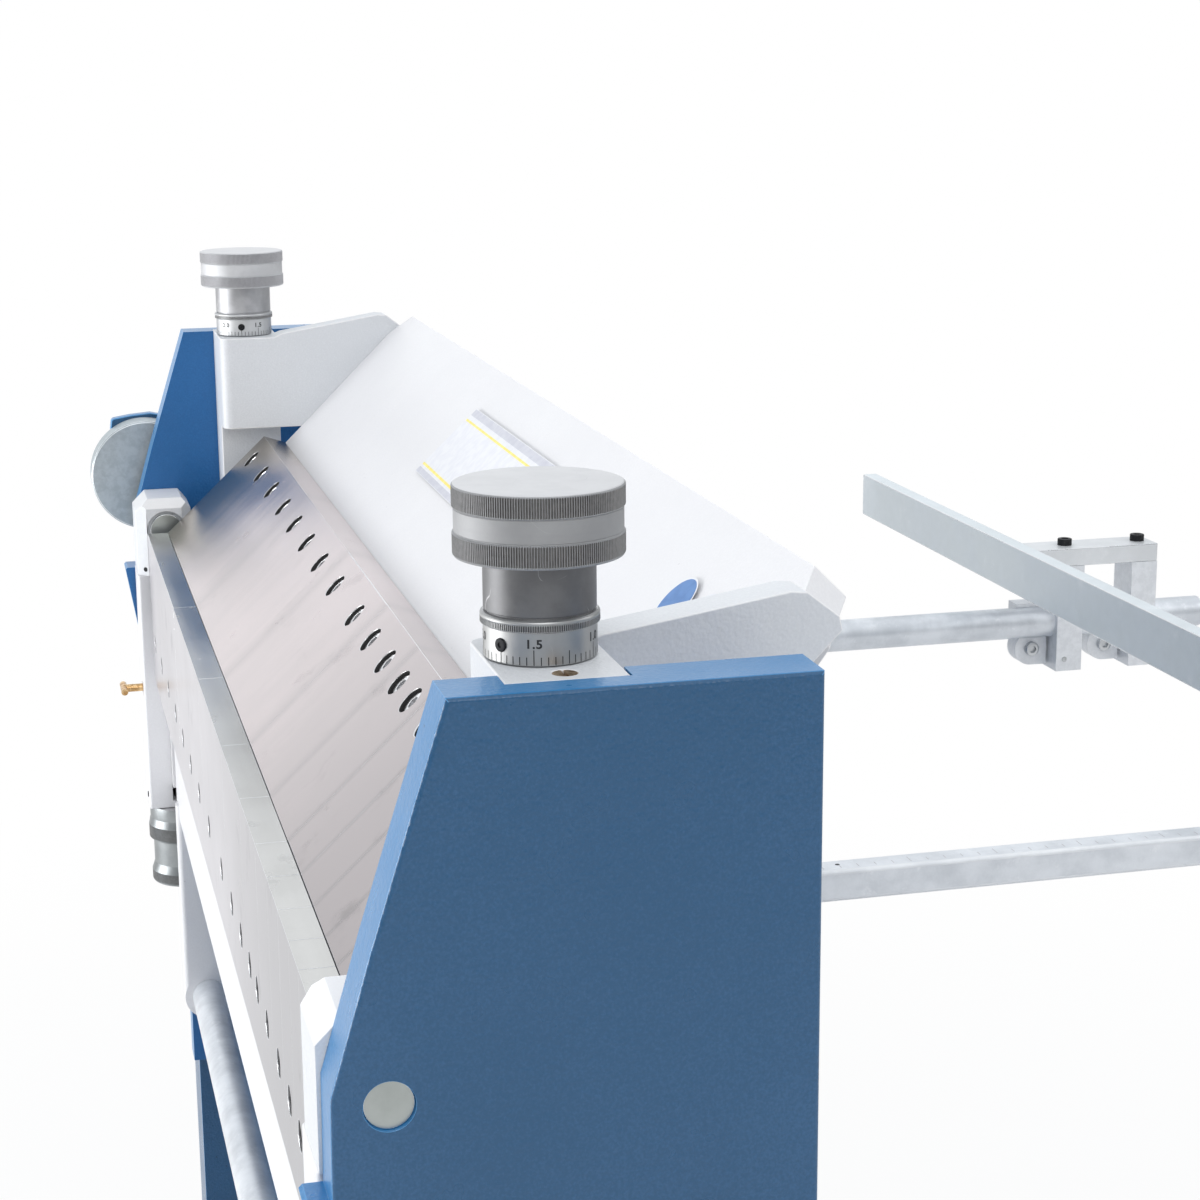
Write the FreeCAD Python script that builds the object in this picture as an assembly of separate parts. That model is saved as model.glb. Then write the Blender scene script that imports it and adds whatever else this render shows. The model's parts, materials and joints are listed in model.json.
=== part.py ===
import FreeCAD, Part
import math
import os
from FreeCAD import Vector

# Foot-operated box and pan brake, 1020 mm of tooling, clamped as at rest.
# X runs along the fold to the operator's right, Y to the rear, Z up; the origin is on the floor
# in the middle of the four foot bolts.  Depths y and heights z in the functions are measured from
# the cheek's top front corner, which lies at (CORNER_Y, CORNER_Z).

BED_HEIGHT = 900.0          # floor to the plane the sheet lies on
SHEET_DROP = 155.5          # cheek top down to that plane
CORNER_Z = BED_HEIGHT + SHEET_DROP
CORNER_Y = -80.0
FLOOR = -CORNER_Z

SEGMENTS = (270, 200, 150, 100, 75, 50, 45, 40, 35, 30, 25)
SCREW_OFFSETS = {270: (30, 100, 170, 240), 200: (35, 100, 165), 150: (35, 115),
                 100: (25, 75), 75: (20, 55)}
SEAM = 0.3                  # gap between neighbouring segments
WORK_HALF = sum(SEGMENTS) / 2.0

CHEEK_IN = 571.4            # inner face of a cheek from the middle
CHEEK_T = 27.0
CHEEK_OUT = CHEEK_IN + CHEEK_T
CHEEK_DEPTH = 143.6
CHEEK_DROP = 640.0
SLOT_Y0, SLOT_Y1 = 24.4, 73.0
SLOT_DEEP = 12.9
SLOT_DROP = 340.0

PIVOT_Y, PIVOT_Z = -24.5, -154.5
PIN_R = 10.0
RUN = 0.05                  # radial play of a turning fit
SLIDE = 0.3                 # play of a sliding face

LIFT = 45.0                 # opening of the clamping beam
SPINDLE_X, SPINDLE_Y = 544.0, 47.1
SPINDLE_R = 11.0
ROD_R = 8.0
ROD_TIP_R = 6.0

CRANK = 90.0
CRANK_ANGLE = math.asin(LIFT / 2.0 / CRANK)
SHAFT_Y = SPINDLE_Y + CRANK * (1.0 + math.cos(CRANK_ANGLE)) / 2.0
SHAFT_Z = FLOOR + 200.0
SHAFT_R = 15.0
CRANK_PIN_R = 6.0
PIN_Y = SHAFT_Y - CRANK * math.cos(CRANK_ANGLE)
PIN_Z = SHAFT_Z - CRANK * math.sin(CRANK_ANGLE)

LEG_W = 60.0
LEG_Y0, LEG_Y1 = -14.0, 180.0
LEG_WALL = 5.0
LEG_TOP = -415.0
FOOT_T = 12.0
FOOT_BOLT_X = CHEEK_OUT + LEG_W / 2.0
FOOT_BOLT_Y = 220.0         # from the origin, front and rear
FOOT_BOLT_R = 7.0

GAUGE_X, GAUGE_Z = 258.0, -213.0
GAUGE_R = 12.0
BAR_HALF = 8.8              # half the side of the square gauge bar
GAUGE_END = 760.0           # rear ends of the gauge rods
DEPTH = 1002.0              # from there to the front of the tread

LOW_X, LOW_Y = 540.0, -20.0
LOW_R = 8.0


def vec(x, y, z):
    return Vector(x, y + CORNER_Y, z + CORNER_Z)


def prism(points, x0, x1):
    ring = [vec(x0, y, z) for y, z in points]
    face = Part.Face(Part.makePolygon(ring + ring[:1]))
    return face.extrude(Vector(x1 - x0, 0, 0))


def block(x0, x1, y0, y1, z0, z1):
    return Part.makeBox(x1 - x0, y1 - y0, z1 - z0, vec(x0, y0, z0))


def rod_x(x0, x1, y, z, r):
    return Part.makeCylinder(r, x1 - x0, vec(x0, y, z), Vector(1, 0, 0))


def rod_y(x, y0, y1, z, r):
    return Part.makeCylinder(r, y1 - y0, vec(x, y0, z), Vector(0, 1, 0))


def rod_z(x, y, z0, z1, r):
    return Part.makeCylinder(r, z1 - z0, vec(x, y, z0), Vector(0, 0, 1))


def turned(x, y, profile):
    """A body of revolution about a vertical axis from (radius, z) pairs, bottom to top."""
    low, top = profile[0][1], profile[-1][1]
    ring = [Vector(0, 0, low)] + [Vector(r, 0, z) for r, z in profile] + [Vector(0, 0, top)]
    face = Part.Face(Part.makePolygon(ring + ring[:1]))
    shape = face.revolve(Vector(0, 0, 0), Vector(0, 0, 1), 360)
    shape.translate(vec(x, y, 0))
    return shape


def hexagon_x(x0, x1, y, z, flats):
    r = flats / math.sqrt(3.0)
    turns = [math.radians(60 * k + 30) for k in range(6)]
    return prism([(y + r * math.cos(a), z + r * math.sin(a)) for a in turns], x0, x1)


def mirrored(shape):
    return shape.mirror(Vector(0, 0, 0), Vector(1, 0, 0))


def both(shape):
    return Part.makeCompound([shape, mirrored(shape)])


def segment_spans():
    spans, start = [], -WORK_HALF
    for width in SEGMENTS:
        spans.append((width, start, start + width))
        start += width
    return spans


def screw_spots():
    spots = []
    for width, start, end in segment_spans():
        spots += [start + offset for offset in SCREW_OFFSETS.get(width, (width / 2.0,))]
    return spots


def holes_x(shape, x0, x1, spots, r):
    for y, z in spots:
        shape = shape.cut(rod_x(x0, x1, y, z, r))
    return shape


# Stand

BED_FRONT = 20.0
BED_TOP = -190.0
BED_LOW = -420.0
CHEEK_BOLTS = [(24.0, -450.0), (120.0, -450.0), (24.0, -600.0), (120.0, -600.0)]
BED_BOLTS = [(98.0, -225.0), (98.0, -300.0), (98.0, -375.0)]
BOLT_R = 6.0
BED_RIBS, BED_RIB_T = 6, 16.0


def cheek():
    outline = [(0, 0), (CHEEK_DEPTH, 0), (CHEEK_DEPTH, -CHEEK_DROP), (-20, -CHEEK_DROP), (-20, -420),
               (-44, -268), (-56.5, -196), (-55, -194.5), (-47, -194.5), (-46.5, -150), (-30, -94)]
    plate = prism(outline, CHEEK_IN, CHEEK_OUT)
    rims = [e for e in plate.Edges if e.Vertexes[0].X > CHEEK_OUT - 1 and e.Vertexes[-1].X > CHEEK_OUT - 1]
    plate = plate.makeFillet(2.0, rims)
    slot = block(CHEEK_IN - 1, CHEEK_IN + SLOT_DEEP, SLOT_Y0, SLOT_Y1, -SLOT_DROP, 1)
    plate = plate.cut(slot).cut(rod_x(CHEEK_IN - 1, CHEEK_OUT + 1, PIVOT_Y, PIVOT_Z, PIN_R + RUN))
    return holes_x(plate, CHEEK_IN - 1, CHEEK_OUT + 1, CHEEK_BOLTS + BED_BOLTS, BOLT_R + RUN)


def leg():
    x0, x1 = CHEEK_OUT, CHEEK_OUT + LEG_W
    y0, y1 = LEG_Y0, LEG_Y1
    column = block(x0, x1, y0, y1, FLOOR + FOOT_T, LEG_TOP)
    hollow = block(x0 + LEG_WALL, x1 - LEG_WALL, y0 + LEG_WALL, y1 - LEG_WALL,
                   FLOOR + FOOT_T, LEG_TOP - LEG_WALL)
    column = holes_x(column.cut(hollow), x0 - 1, x0 + LEG_WALL + 1, CHEEK_BOLTS, BOLT_R + RUN)
    centre = -CORNER_Y
    foot = block(x0 - 10, x1 + 10, centre - 255, centre + 255, FLOOR, FLOOR + FOOT_T)
    for side in (-1, 1):
        y = centre + side * FOOT_BOLT_Y
        foot = foot.cut(rod_z(FOOT_BOLT_X, y, FLOOR - 1, FLOOR + FOOT_T + 1, FOOT_BOLT_R))
    top = FLOOR + FOOT_T
    mid = (x0 + x1) / 2.0
    front = prism([(y0, top), (y0, top + 150), (y0 - 25, top + 150), (y0 - 90, top + 12), (y0 - 90, top)],
                  mid - 4, mid + 4)
    rear = prism([(y1, top), (y1, top + 180), (y1 + 25, top + 180), (y1 + 90, top + 12), (y1 + 90, top)],
                 mid - 4, mid + 4)
    return column.fuse([foot, front, rear]).removeSplitter()


PANEL_Y, PANEL_T = 97.0, 6.0
PANEL_LOW, PANEL_TOP = -630.0, BED_LOW - 5.0


def cross_panel():
    return block(-CHEEK_IN, CHEEK_IN, PANEL_Y, PANEL_Y + PANEL_T, PANEL_LOW, PANEL_TOP)


TIE_Y, TIE_Z = 90.0, FLOOR + 275.0
TIE_SIDE, TIE_WALL = 48.0, 3.0


def cross_tie():
    far, inner = TIE_SIDE, TIE_SIDE - TIE_WALL
    outer = block(-CHEEK_OUT, CHEEK_OUT, TIE_Y, TIE_Y + far, TIE_Z, TIE_Z + far)
    return outer.cut(block(-CHEEK_OUT, CHEEK_OUT, TIE_Y + TIE_WALL, TIE_Y + inner,
                           TIE_Z + TIE_WALL, TIE_Z + inner))


def hex_bolt(x_face, x_tip, y, z, head_side):
    head = hexagon_x(min(x_face, x_face + head_side * 7.5), max(x_face, x_face + head_side * 7.5), y, z, 18.0)
    return head.fuse(rod_x(min(x_face, x_tip), max(x_face, x_tip), y, z, BOLT_R)).removeSplitter()


def frame_bolts():
    bolts = []
    for y, z in CHEEK_BOLTS:
        bolts.append(hex_bolt(CHEEK_IN, CHEEK_OUT + LEG_WALL + 4, y, z, -1))
    for y, z in BED_BOLTS:
        bolts.append(hex_bolt(CHEEK_OUT, CHEEK_IN - 14, y, z, 1))
    return both(Part.makeCompound(bolts))


def bed():
    slab = prism([(-6, BED_TOP), (120, BED_TOP), (120, -212), (BED_FRONT, -222), (2, -206), (-6, -200)],
                 -WORK_HALF, WORK_HALF)
    front = block(-WORK_HALF, WORK_HALF, BED_FRONT, BED_FRONT + 16, BED_LOW, -212)
    rear = block(-CHEEK_IN, CHEEK_IN, 106, 120, BED_LOW, BED_TOP)
    base = block(-WORK_HALF, WORK_HALF, BED_FRONT, 120, BED_LOW, BED_LOW + 14)
    shape = slab.fuse([front, rear, base])
    for k in range(BED_RIBS):
        x = -WORK_HALF + k * (2 * WORK_HALF - BED_RIB_T) / (BED_RIBS - 1)
        shape = shape.fuse(block(x, x + BED_RIB_T, BED_FRONT, 120, BED_LOW, -200))
    for x in (-CHEEK_IN, CHEEK_IN - BED_RIB_T):
        shape = shape.fuse(block(x, x + BED_RIB_T, 80, 120, BED_LOW, BED_TOP))
    shape = holes_x(shape, -CHEEK_IN - 1, -CHEEK_IN + 17, BED_BOLTS, BOLT_R + RUN)
    shape = holes_x(shape, CHEEK_IN - 17, CHEEK_IN + 1, BED_BOLTS, BOLT_R + RUN)
    for x in (-GAUGE_X, GAUGE_X):
        shape = shape.fuse(rod_y(x, 120, 136, GAUGE_Z, 22)).cut(rail(x, 100, 140))
    return shape.removeSplitter()


BED_SCREW_Y, BED_SCREW_R, BED_SCREW_SINK = 8.0, 6.5, 9.0


def bed_screw_spots():
    return [-480.0 + 120.0 * k for k in range(9)]


BLADE_TOP = -SHEET_DROP - 0.4


def bed_blade():
    shape = prism([(NOSE_Y, BLADE_TOP), (30, BLADE_TOP), (30, BED_TOP), (-6, BED_TOP), (NOSE_Y, -174)],
                  -WORK_HALF, WORK_HALF)
    for x in bed_screw_spots():
        shape = shape.cut(rod_z(x, BED_SCREW_Y, BLADE_TOP - BED_SCREW_SINK, BLADE_TOP + 1, BED_SCREW_R + 0.5))
    return shape


def bed_screws():
    heads = [rod_z(x, BED_SCREW_Y, BLADE_TOP - BED_SCREW_SINK, BLADE_TOP - 1, BED_SCREW_R)
             for x in bed_screw_spots()]
    return Part.makeCompound(heads)


def shaft_bearing():
    x0, x1 = CHEEK_OUT - 16, CHEEK_OUT
    body = rod_x(x1 - 8, x1, SHAFT_Y, SHAFT_Z, 40).fuse(rod_x(x0, x1, SHAFT_Y, SHAFT_Z, 26))
    body = body.cut(rod_x(x0 - 1, x1 + 1, SHAFT_Y, SHAFT_Z, SHAFT_R + RUN))
    for k in range(4):
        a = math.radians(45 + 90 * k)
        y, z = SHAFT_Y + 33 * math.cos(a), SHAFT_Z + 33 * math.sin(a)
        body = body.fuse(hexagon_x(x1 - 13, x1 - 8, y, z, 10.0))
    return body


def rail(x, y0, y1, spare=0.0):
    """The back gauge runs on a round rod on the left and on a square bar on the right."""
    if x < 0:
        return rod_y(x, y0, y1, GAUGE_Z, GAUGE_R + spare)
    half = BAR_HALF + spare
    return block(x - half, x + half, y0, y1, GAUGE_Z - half, GAUGE_Z + half)


def gauge_rods():
    return Part.makeCompound([rail(x, 108, GAUGE_END) for x in (-GAUGE_X, GAUGE_X)])


# Clamping beam: every height is at rest, with the fingers down on the bed

BEAM_RISE = 158.3           # height of the sloping face below its depth
PLATE_T = 20.5
RIDGE = (176.5, 15.5)
RIDGE_BACK = (191.0, 1.0)
WEB_X0, WEB_X1 = 512.0, 533.0
BLOCK_X1 = CHEEK_IN + SLOT_DEEP - SLIDE
BLOCK_Y0, BLOCK_Y1 = SLOT_Y0 + 0.1, SLOT_Y1 - 0.7
TONGUE_LOW = -262.0
FINGER_FRONT, FINGER_BACK = 135.5, 158.1
NOSE_Y = PIVOT_Y + SEAM     # the noses stop just behind the bending blade
SCREW_DEPTH = 42.5
SCREW_SINK, SCREW_HEAD_R = 9.0, 7.3


def end_cut():
    """The slanting face that takes off the beam's upper rear corner beside the end web."""
    x0, x1 = WEB_X0 - 22.0, WEB_X0 + 2.0
    run = 1.4 * (x1 - x0)
    sum0 = RIDGE[0] + RIDGE[1]
    corners = [(x0, sum0), (x1, sum0 - run), (x1 + 1, sum0 + 60), (x0, sum0 + 60)]
    low = [Vector(x, total / 2.0 + 130 + CORNER_Y, total / 2.0 - 130 + CORNER_Z) for x, total in corners]
    face = Part.Face(Part.makePolygon(low + low[:1]))
    return face.extrude(Vector(0, -260, 260))


def clamp_beam():
    foot_z0, foot_z1 = -148.0, -130.0
    y_back = foot_z1 + BEAM_RISE + PLATE_T * math.sqrt(2.0)
    y_low = foot_z0 + BEAM_RISE
    plate = prism([(y_low, foot_z0), (73, 73 - BEAM_RISE), RIDGE, RIDGE_BACK,
                   (y_back, foot_z1), (120, foot_z1), (120, foot_z0)],
                  -WORK_HALF - 1.9, WORK_HALF + 1.9)
    shape = plate
    for x in (-WORK_HALF - 1.9, -260.0, -8.0, 244.0, WORK_HALF - 14.1):
        rib = prism([(y_back - 8, foot_z1), (120, foot_z1), (165, -30), (RIDGE_BACK[0] - 12, -11)], x, x + 16)
        shape = shape.fuse(rib)
    cutter = end_cut()
    shape = shape.cut(cutter).cut(mirrored(cutter))
    return shape.removeSplitter()


INWARD = Vector(0, math.sqrt(0.5), -math.sqrt(0.5))


def slant_rod(x, d0, d1, r):
    """A cylinder square to the sloping face, between two depths under the fingers' front."""
    start = vec(x, SCREW_DEPTH, SCREW_DEPTH - FINGER_FRONT) + INWARD * d0
    return Part.makeCylinder(r, d1 - d0, start, INWARD)


def finger(width, start, end):
    x0, x1 = start + SEAM / 2.0, end - SEAM / 2.0
    nose = -SHEET_DROP
    shape = prism([(NOSE_Y, nose + 0.8), (NOSE_Y + 0.8, nose),
                   (nose + FINGER_BACK, nose), (73, 73 - FINGER_BACK), (56, 56 - FINGER_FRONT)], x0, x1)
    for offset in SCREW_OFFSETS.get(width, (width / 2.0,)):
        shape = shape.cut(slant_rod(start + offset, -1, SCREW_SINK, SCREW_HEAD_R + 0.7))
    return shape


def finger_screws():
    return Part.makeCompound([slant_rod(x, 0.6, SCREW_SINK, SCREW_HEAD_R) for x in screw_spots()])


def beam_end():
    web = prism([(BLOCK_Y0, -73), (104, -73), (162, -14.2), (174, -2), (172.5, 4), (159, 14.6), (152, 15.4),
                 (137, 13), (106, 8), (74, 3), (67.5, 0), (BLOCK_Y0, 0)], WEB_X0, WEB_X1)
    head = block(WEB_X0, BLOCK_X1, BLOCK_Y0, BLOCK_Y1, -113, 0)
    head = head.cut(block(WEB_X0 - 1, WEB_X1, BLOCK_Y0 - 1, BLOCK_Y1 + 1, -114, -73))
    tongue = block(WEB_X1, BLOCK_X1, BLOCK_Y0, BLOCK_Y1, TONGUE_LOW, -113)
    shape = web.fuse([head, tongue]).removeSplitter()
    corner = []
    for e in shape.Edges:
        ends = (e.Vertexes[0].Point, e.Vertexes[-1].Point)
        if all(abs(p.x - WEB_X0) < 0.01 and abs(p.y - CORNER_Y - BLOCK_Y0) < 0.01 for p in ends):
            corner.append(e)
    shape = shape.makeFillet(8.0, corner)
    shape = shape.cut(rod_z(SPINDLE_X, SPINDLE_Y, -66, 1, SPINDLE_R + RUN))
    shape = shape.cut(rod_z(SPINDLE_X, SPINDLE_Y, TONGUE_LOW - 1, -60, ROD_R))
    return shape.cut(rod_z(PLUG_X, PLUG_Y, -PLUG_LONG, 1, PLUG_R))


PLUG_X, PLUG_Y, PLUG_R, PLUG_LONG = 574.0, 49.6, 4.85, 18.0


def plug_screws():
    plug = rod_z(PLUG_X, PLUG_Y, -PLUG_LONG, -0.2, PLUG_R)
    return both(plug.cut(block(PLUG_X - 6, PLUG_X + 6, PLUG_Y - 0.6, PLUG_Y + 0.6, -1.7, 1)))


def draw_rod():
    """Threaded tip in the spindle, plain rod, and a slotted eye for the crank pin."""
    eye_half = 22.0
    rod = rod_z(SPINDLE_X, SPINDLE_Y, PIN_Z + 10, -66, ROD_R)
    rod = rod.fuse(rod_z(SPINDLE_X, SPINDLE_Y, -66, -26, ROD_TIP_R))
    eye = block(SPINDLE_X - ROD_R, SPINDLE_X + ROD_R, SPINDLE_Y - eye_half, SPINDLE_Y + eye_half,
                PIN_Z - 15, PIN_Z + 15)
    play = CRANK * (1.0 - math.cos(CRANK_ANGLE)) / 2.0 + 0.15
    slot = rod_x(SPINDLE_X - 20, SPINDLE_X + 20, SPINDLE_Y - play, PIN_Z, CRANK_PIN_R + 0.25)
    slot = slot.fuse(rod_x(SPINDLE_X - 20, SPINDLE_X + 20, SPINDLE_Y + play, PIN_Z, CRANK_PIN_R + 0.25))
    slot = slot.fuse(block(SPINDLE_X - 20, SPINDLE_X + 20, SPINDLE_Y - play, SPINDLE_Y + play,
                           PIN_Z - CRANK_PIN_R - 0.25, PIN_Z + CRANK_PIN_R + 0.25))
    return rod.fuse(eye).removeSplitter().cut(slot)


# Clamp adjusters

def top_knob():
    profile = [(SPINDLE_R, -60), (SPINDLE_R, 18.2), (21.0, 18.2), (21.0, 19.0), (21.8, 19.0), (21.8, 39.6),
               (32.6, 39.6), (33.1, 40.2), (33.1, 48.6), (32.5, 49.0), (32.5, 58.2), (33.1, 58.6),
               (33.1, 66.8), (32.4, 67.4)]
    shape = turned(SPINDLE_X, SPINDLE_Y, profile)
    return shape.cut(rod_z(SPINDLE_X, SPINDLE_Y, -61, -22, ROD_TIP_R + RUN))


def scale_collar():
    profile = [(21.5, 0.5), (22.0, 1.0), (22.0, 13.4), (23.1, 13.8), (23.1, 17.4), (22.2, 18.2)]
    shape = turned(SPINDLE_X, SPINDLE_Y, profile)
    return shape.cut(rod_z(SPINDLE_X, SPINDLE_Y, 0, 19, SPINDLE_R))


# Pedal, pressed down as at rest

def pedal_shaft():
    return rod_x(-CHEEK_OUT + 1, CHEEK_OUT - 1, SHAFT_Y, SHAFT_Z, SHAFT_R)


def link_bar(x0, x1, a, b, ra, rb):
    """A flat lever with round ends of radii ra and rb about the points a and b."""
    dy, dz = b[0] - a[0], b[1] - a[1]
    long = math.hypot(dy, dz)
    ny, nz = -dz / long, dy / long
    corners = []
    for end, side in ((a, ra), (b, rb), (b, -rb), (a, -ra)):
        corners.append((end[0] + ny * side * 0.9, end[1] + nz * side * 0.9))
    web = prism(corners, x0, x1)
    return web.fuse([rod_x(x0, x1, a[0], a[1], ra), rod_x(x0, x1, b[0], b[1], rb)]).removeSplitter()


def crank():
    x1 = SPINDLE_X - ROD_R - 2.0
    lever = link_bar(x1 - 16, x1, (SHAFT_Y, SHAFT_Z), (PIN_Y, PIN_Z), 28, 15)
    lever = lever.cut(rod_x(x1 - 20, x1 + 1, SHAFT_Y, SHAFT_Z, SHAFT_R))
    pin = rod_x(x1, SPINDLE_X + ROD_R + 1, PIN_Y, PIN_Z, CRANK_PIN_R)
    cap = rod_x(SPINDLE_X + ROD_R + 1, SPINDLE_X + ROD_R + 4, PIN_Y, PIN_Z, 10.5)
    return lever.fuse([pin, cap]).removeSplitter()


TREAD_Y0 = GAUGE_END - DEPTH
TREAD_Y1 = TREAD_Y0 + 72.0
TREAD_Z = FLOOR + 62.0
TREAD_HALF = 420.0
PEDAL_ARM_X, PEDAL_ARM_T = 0.7 * TREAD_HALF, 12.0


def pedal_frame():
    parts = []
    for x in (-PEDAL_ARM_X - PEDAL_ARM_T, PEDAL_ARM_X):
        tip = (TREAD_Y1 - 15.0, TREAD_Z - 16.0)
        arm = link_bar(x, x + PEDAL_ARM_T, (SHAFT_Y, SHAFT_Z), tip, 30, 14)
        arm = arm.fuse(rod_x(x - 8, x + 20, SHAFT_Y, SHAFT_Z, 24))
        arm = arm.cut(block(x - 1, x + 13, TREAD_Y0, TREAD_Y1, TREAD_Z - 2, TREAD_Z + 40))
        parts.append(arm.cut(rod_x(x - 10, x + 22, SHAFT_Y, SHAFT_Z, SHAFT_R)))
    tread = block(-TREAD_HALF, TREAD_HALF, TREAD_Y0, TREAD_Y1, TREAD_Z - 5, TREAD_Z)
    tread = tread.fuse(block(-TREAD_HALF, TREAD_HALF, TREAD_Y0, TREAD_Y0 + 5, TREAD_Z - 34, TREAD_Z))
    tread = tread.fuse(block(-TREAD_HALF, TREAD_HALF, TREAD_Y1 - 5, TREAD_Y1, TREAD_Z - 24, TREAD_Z))
    return tread.fuse(parts).removeSplitter()


def tread_pad():
    pad = block(-TREAD_HALF + 8, TREAD_HALF - 8, TREAD_Y0 + 4, TREAD_Y1 - 4, TREAD_Z, TREAD_Z + 5)
    for k in range(4):
        y = TREAD_Y0 + 14 + 14 * k
        pad = pad.cut(block(-TREAD_HALF, TREAD_HALF, y, y + 4, TREAD_Z + 3, TREAD_Z + 6))
    return pad


WEIGHT_REACH, WEIGHT_RISE = 265.0, 70.0
WEIGHT_HALF, WEIGHT_R = 200.0, 48.0
WEIGHT_ARM_X = 0.67 * WEIGHT_HALF


def counterweight():
    wy, wz = SHAFT_Y + WEIGHT_REACH, SHAFT_Z + WEIGHT_RISE
    parts = []
    for x in (-WEIGHT_ARM_X - PEDAL_ARM_T, WEIGHT_ARM_X):
        arm = link_bar(x, x + PEDAL_ARM_T, (SHAFT_Y, SHAFT_Z), (wy, wz), 30, 24)
        arm = arm.fuse(rod_x(x - 8, x + 20, SHAFT_Y, SHAFT_Z, 24))
        parts.append(arm.cut(rod_x(x - 10, x + 22, SHAFT_Y, SHAFT_Z, SHAFT_R)))
    return rod_x(-WEIGHT_HALF, WEIGHT_HALF, wy, wz, WEIGHT_R).fuse(parts).removeSplitter()


# Bending arms, hanging straight down as at rest

ARM_X0, ARM_X1 = 523.0, 569.0
ARM_Y0, ARM_Y1 = -49.0, -4.0
ARM_TOP, ARM_LOW = -192.0, -390.5
TRAVEL = 10.0
SLOT_SPARE = TRAVEL + 5.0
TONGUE_X1 = 556.0
TONGUE_Z0, TONGUE_Z1 = -370.0, -230.0
TONGUE_Y0, TONGUE_Y1 = -30.0, -10.0
LOCK_X, LOCK_Z = 545.0, -291.0
PIN_HEAD_R, PIN_HEAD_T = 13.0, 4.0


def pivot_block():
    """A block with a hipped top and broken inner corners."""
    x0, x1 = ARM_X0 - 2, CHEEK_IN - 0.4
    y0, y1 = -48.4, -4.0
    top, hip = -129.2, 7.3
    outline = [(y0, ARM_TOP), (y1, ARM_TOP), (y1, top - 9), (y1 - 7, top), (y0 + 10, top), (y0, top - 10)]
    shape = prism(outline, x0, x1)
    edge = [vec(x0, y0, top - hip), vec(x0 + hip, y0, top), vec(x0, y0, top), vec(x0, y0, top - hip)]
    shape = shape.cut(Part.Face(Part.makePolygon(edge)).extrude(Vector(0, y1 - y0, 0)))
    for y, away in ((y0, -1.0), (y1, 1.0)):
        edge = [vec(x0, y, top), vec(x0 + 8, y, top), vec(x0, y - 8 * away, top), vec(x0, y, top)]
        shape = shape.cut(Part.Face(Part.makePolygon(edge)).extrude(Vector(0, 0, ARM_TOP - top)))
    shape = shape.cut(rod_x(x0 - 1, x1 + 1, PIVOT_Y, PIVOT_Z, PIN_R))
    return shape.cut(rod_x(x0 - 1, x0 + PIN_HEAD_T, PIVOT_Y, PIVOT_Z, PIN_HEAD_R + 2.5))


def arm_housing():
    shape = block(ARM_X0, ARM_X1, ARM_Y0, ARM_Y1, ARM_LOW, ARM_TOP)
    rims = [e for e in shape.Edges if abs(e.Vertexes[0].Z - e.Vertexes[-1].Z) > 50]
    shape = shape.makeFillet(2.0, rims)
    slot = block(ARM_X0 - 1, TONGUE_X1 + 1, TONGUE_Y0 - 0.1, TONGUE_Y1 + 0.1,
                 TONGUE_Z0 - SLOT_SPARE, TONGUE_Z1 + 12)
    shape = shape.cut(slot).cut(rod_z(LOW_X, LOW_Y, ARM_LOW - 1, TONGUE_Z0, LOW_R + RUN))
    return shape.cut(rod_y(LOCK_X, ARM_Y0 - 1, TONGUE_Y0, LOCK_Z, 5.0 + RUN))


def pivot_pins():
    x0 = ARM_X0 - 2.0
    head = rod_x(x0, x0 + PIN_HEAD_T, PIVOT_Y, PIVOT_Z, PIN_HEAD_R)
    right = head.fuse(rod_x(x0 + 1, CHEEK_OUT - 2, PIVOT_Y, PIVOT_Z, PIN_R)).removeSplitter()
    left = mirrored(head).fuse(rod_x(-DISC_X1 - 14, -x0 - 1, PIVOT_Y, PIVOT_Z, PIN_R)).removeSplitter()
    return Part.makeCompound([right, left])


DISC_X0, DISC_X1 = 612.0, 638.0
DISC_Y, DISC_Z, DISC_R = -32.7, -124.5, 46.0


def stop_disc():
    shape = rod_x(-DISC_X1, -DISC_X0, DISC_Y, DISC_Z, DISC_R)
    rims = [e for e in shape.Edges if e.Curve.TypeId == "Part::GeomCircle"]
    shape = shape.makeChamfer(1.2, rims)
    hub = rod_x(-DISC_X0, -CHEEK_OUT - 0.6, PIVOT_Y, PIVOT_Z, 16)
    return shape.fuse(hub).cut(rod_x(-DISC_X1 - 1, -CHEEK_OUT + 1, PIVOT_Y, PIVOT_Z, PIN_R))


def disc_arm():
    points = [(-60, -88), (-59, -80.5), (-57, -79), (-43, -76.7), (-26, -75.3), (-14, -78), (-4, -96),
              (-6, -150), (-20, -172), (-40, -168), (-54, -140)]
    shape = prism(points, -DISC_X1 - 10, -DISC_X1)
    return shape.cut(rod_x(-DISC_X1 - 11, -DISC_X1 + 1, PIVOT_Y, PIVOT_Z, PIN_R))


def lower_knob():
    """Knurled knob and the screw that carries the bending beam's tongue."""
    low = ARM_LOW - 2.5
    profile = [(27.3, low - 66.8), (28.9, low - 65), (28.9, low - 56.5), (26.6, low - 50), (26.6, low - 29),
               (29.9, low - 28), (29.9, low - 14.5), (28.4, low - 8.5), (28.4, ARM_LOW - 0.5),
               (LOW_R, ARM_LOW - 0.5), (LOW_R, TONGUE_Z1 - TRAVEL)]
    return turned(LOW_X, LOW_Y, profile)


def lock_screw():
    tip = rod_y(LOCK_X, -47.3, TONGUE_Y0 - 0.2, LOCK_Z, 5.0)
    shank = rod_y(LOCK_X, -64.4, -47.3, LOCK_Z, 3.2)
    bar = rod_x(LOCK_X - 13, LOCK_X + 13, -64.4, LOCK_Z, 2.8)
    return tip.fuse([shank, bar]).removeSplitter()


# Bending beam

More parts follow.
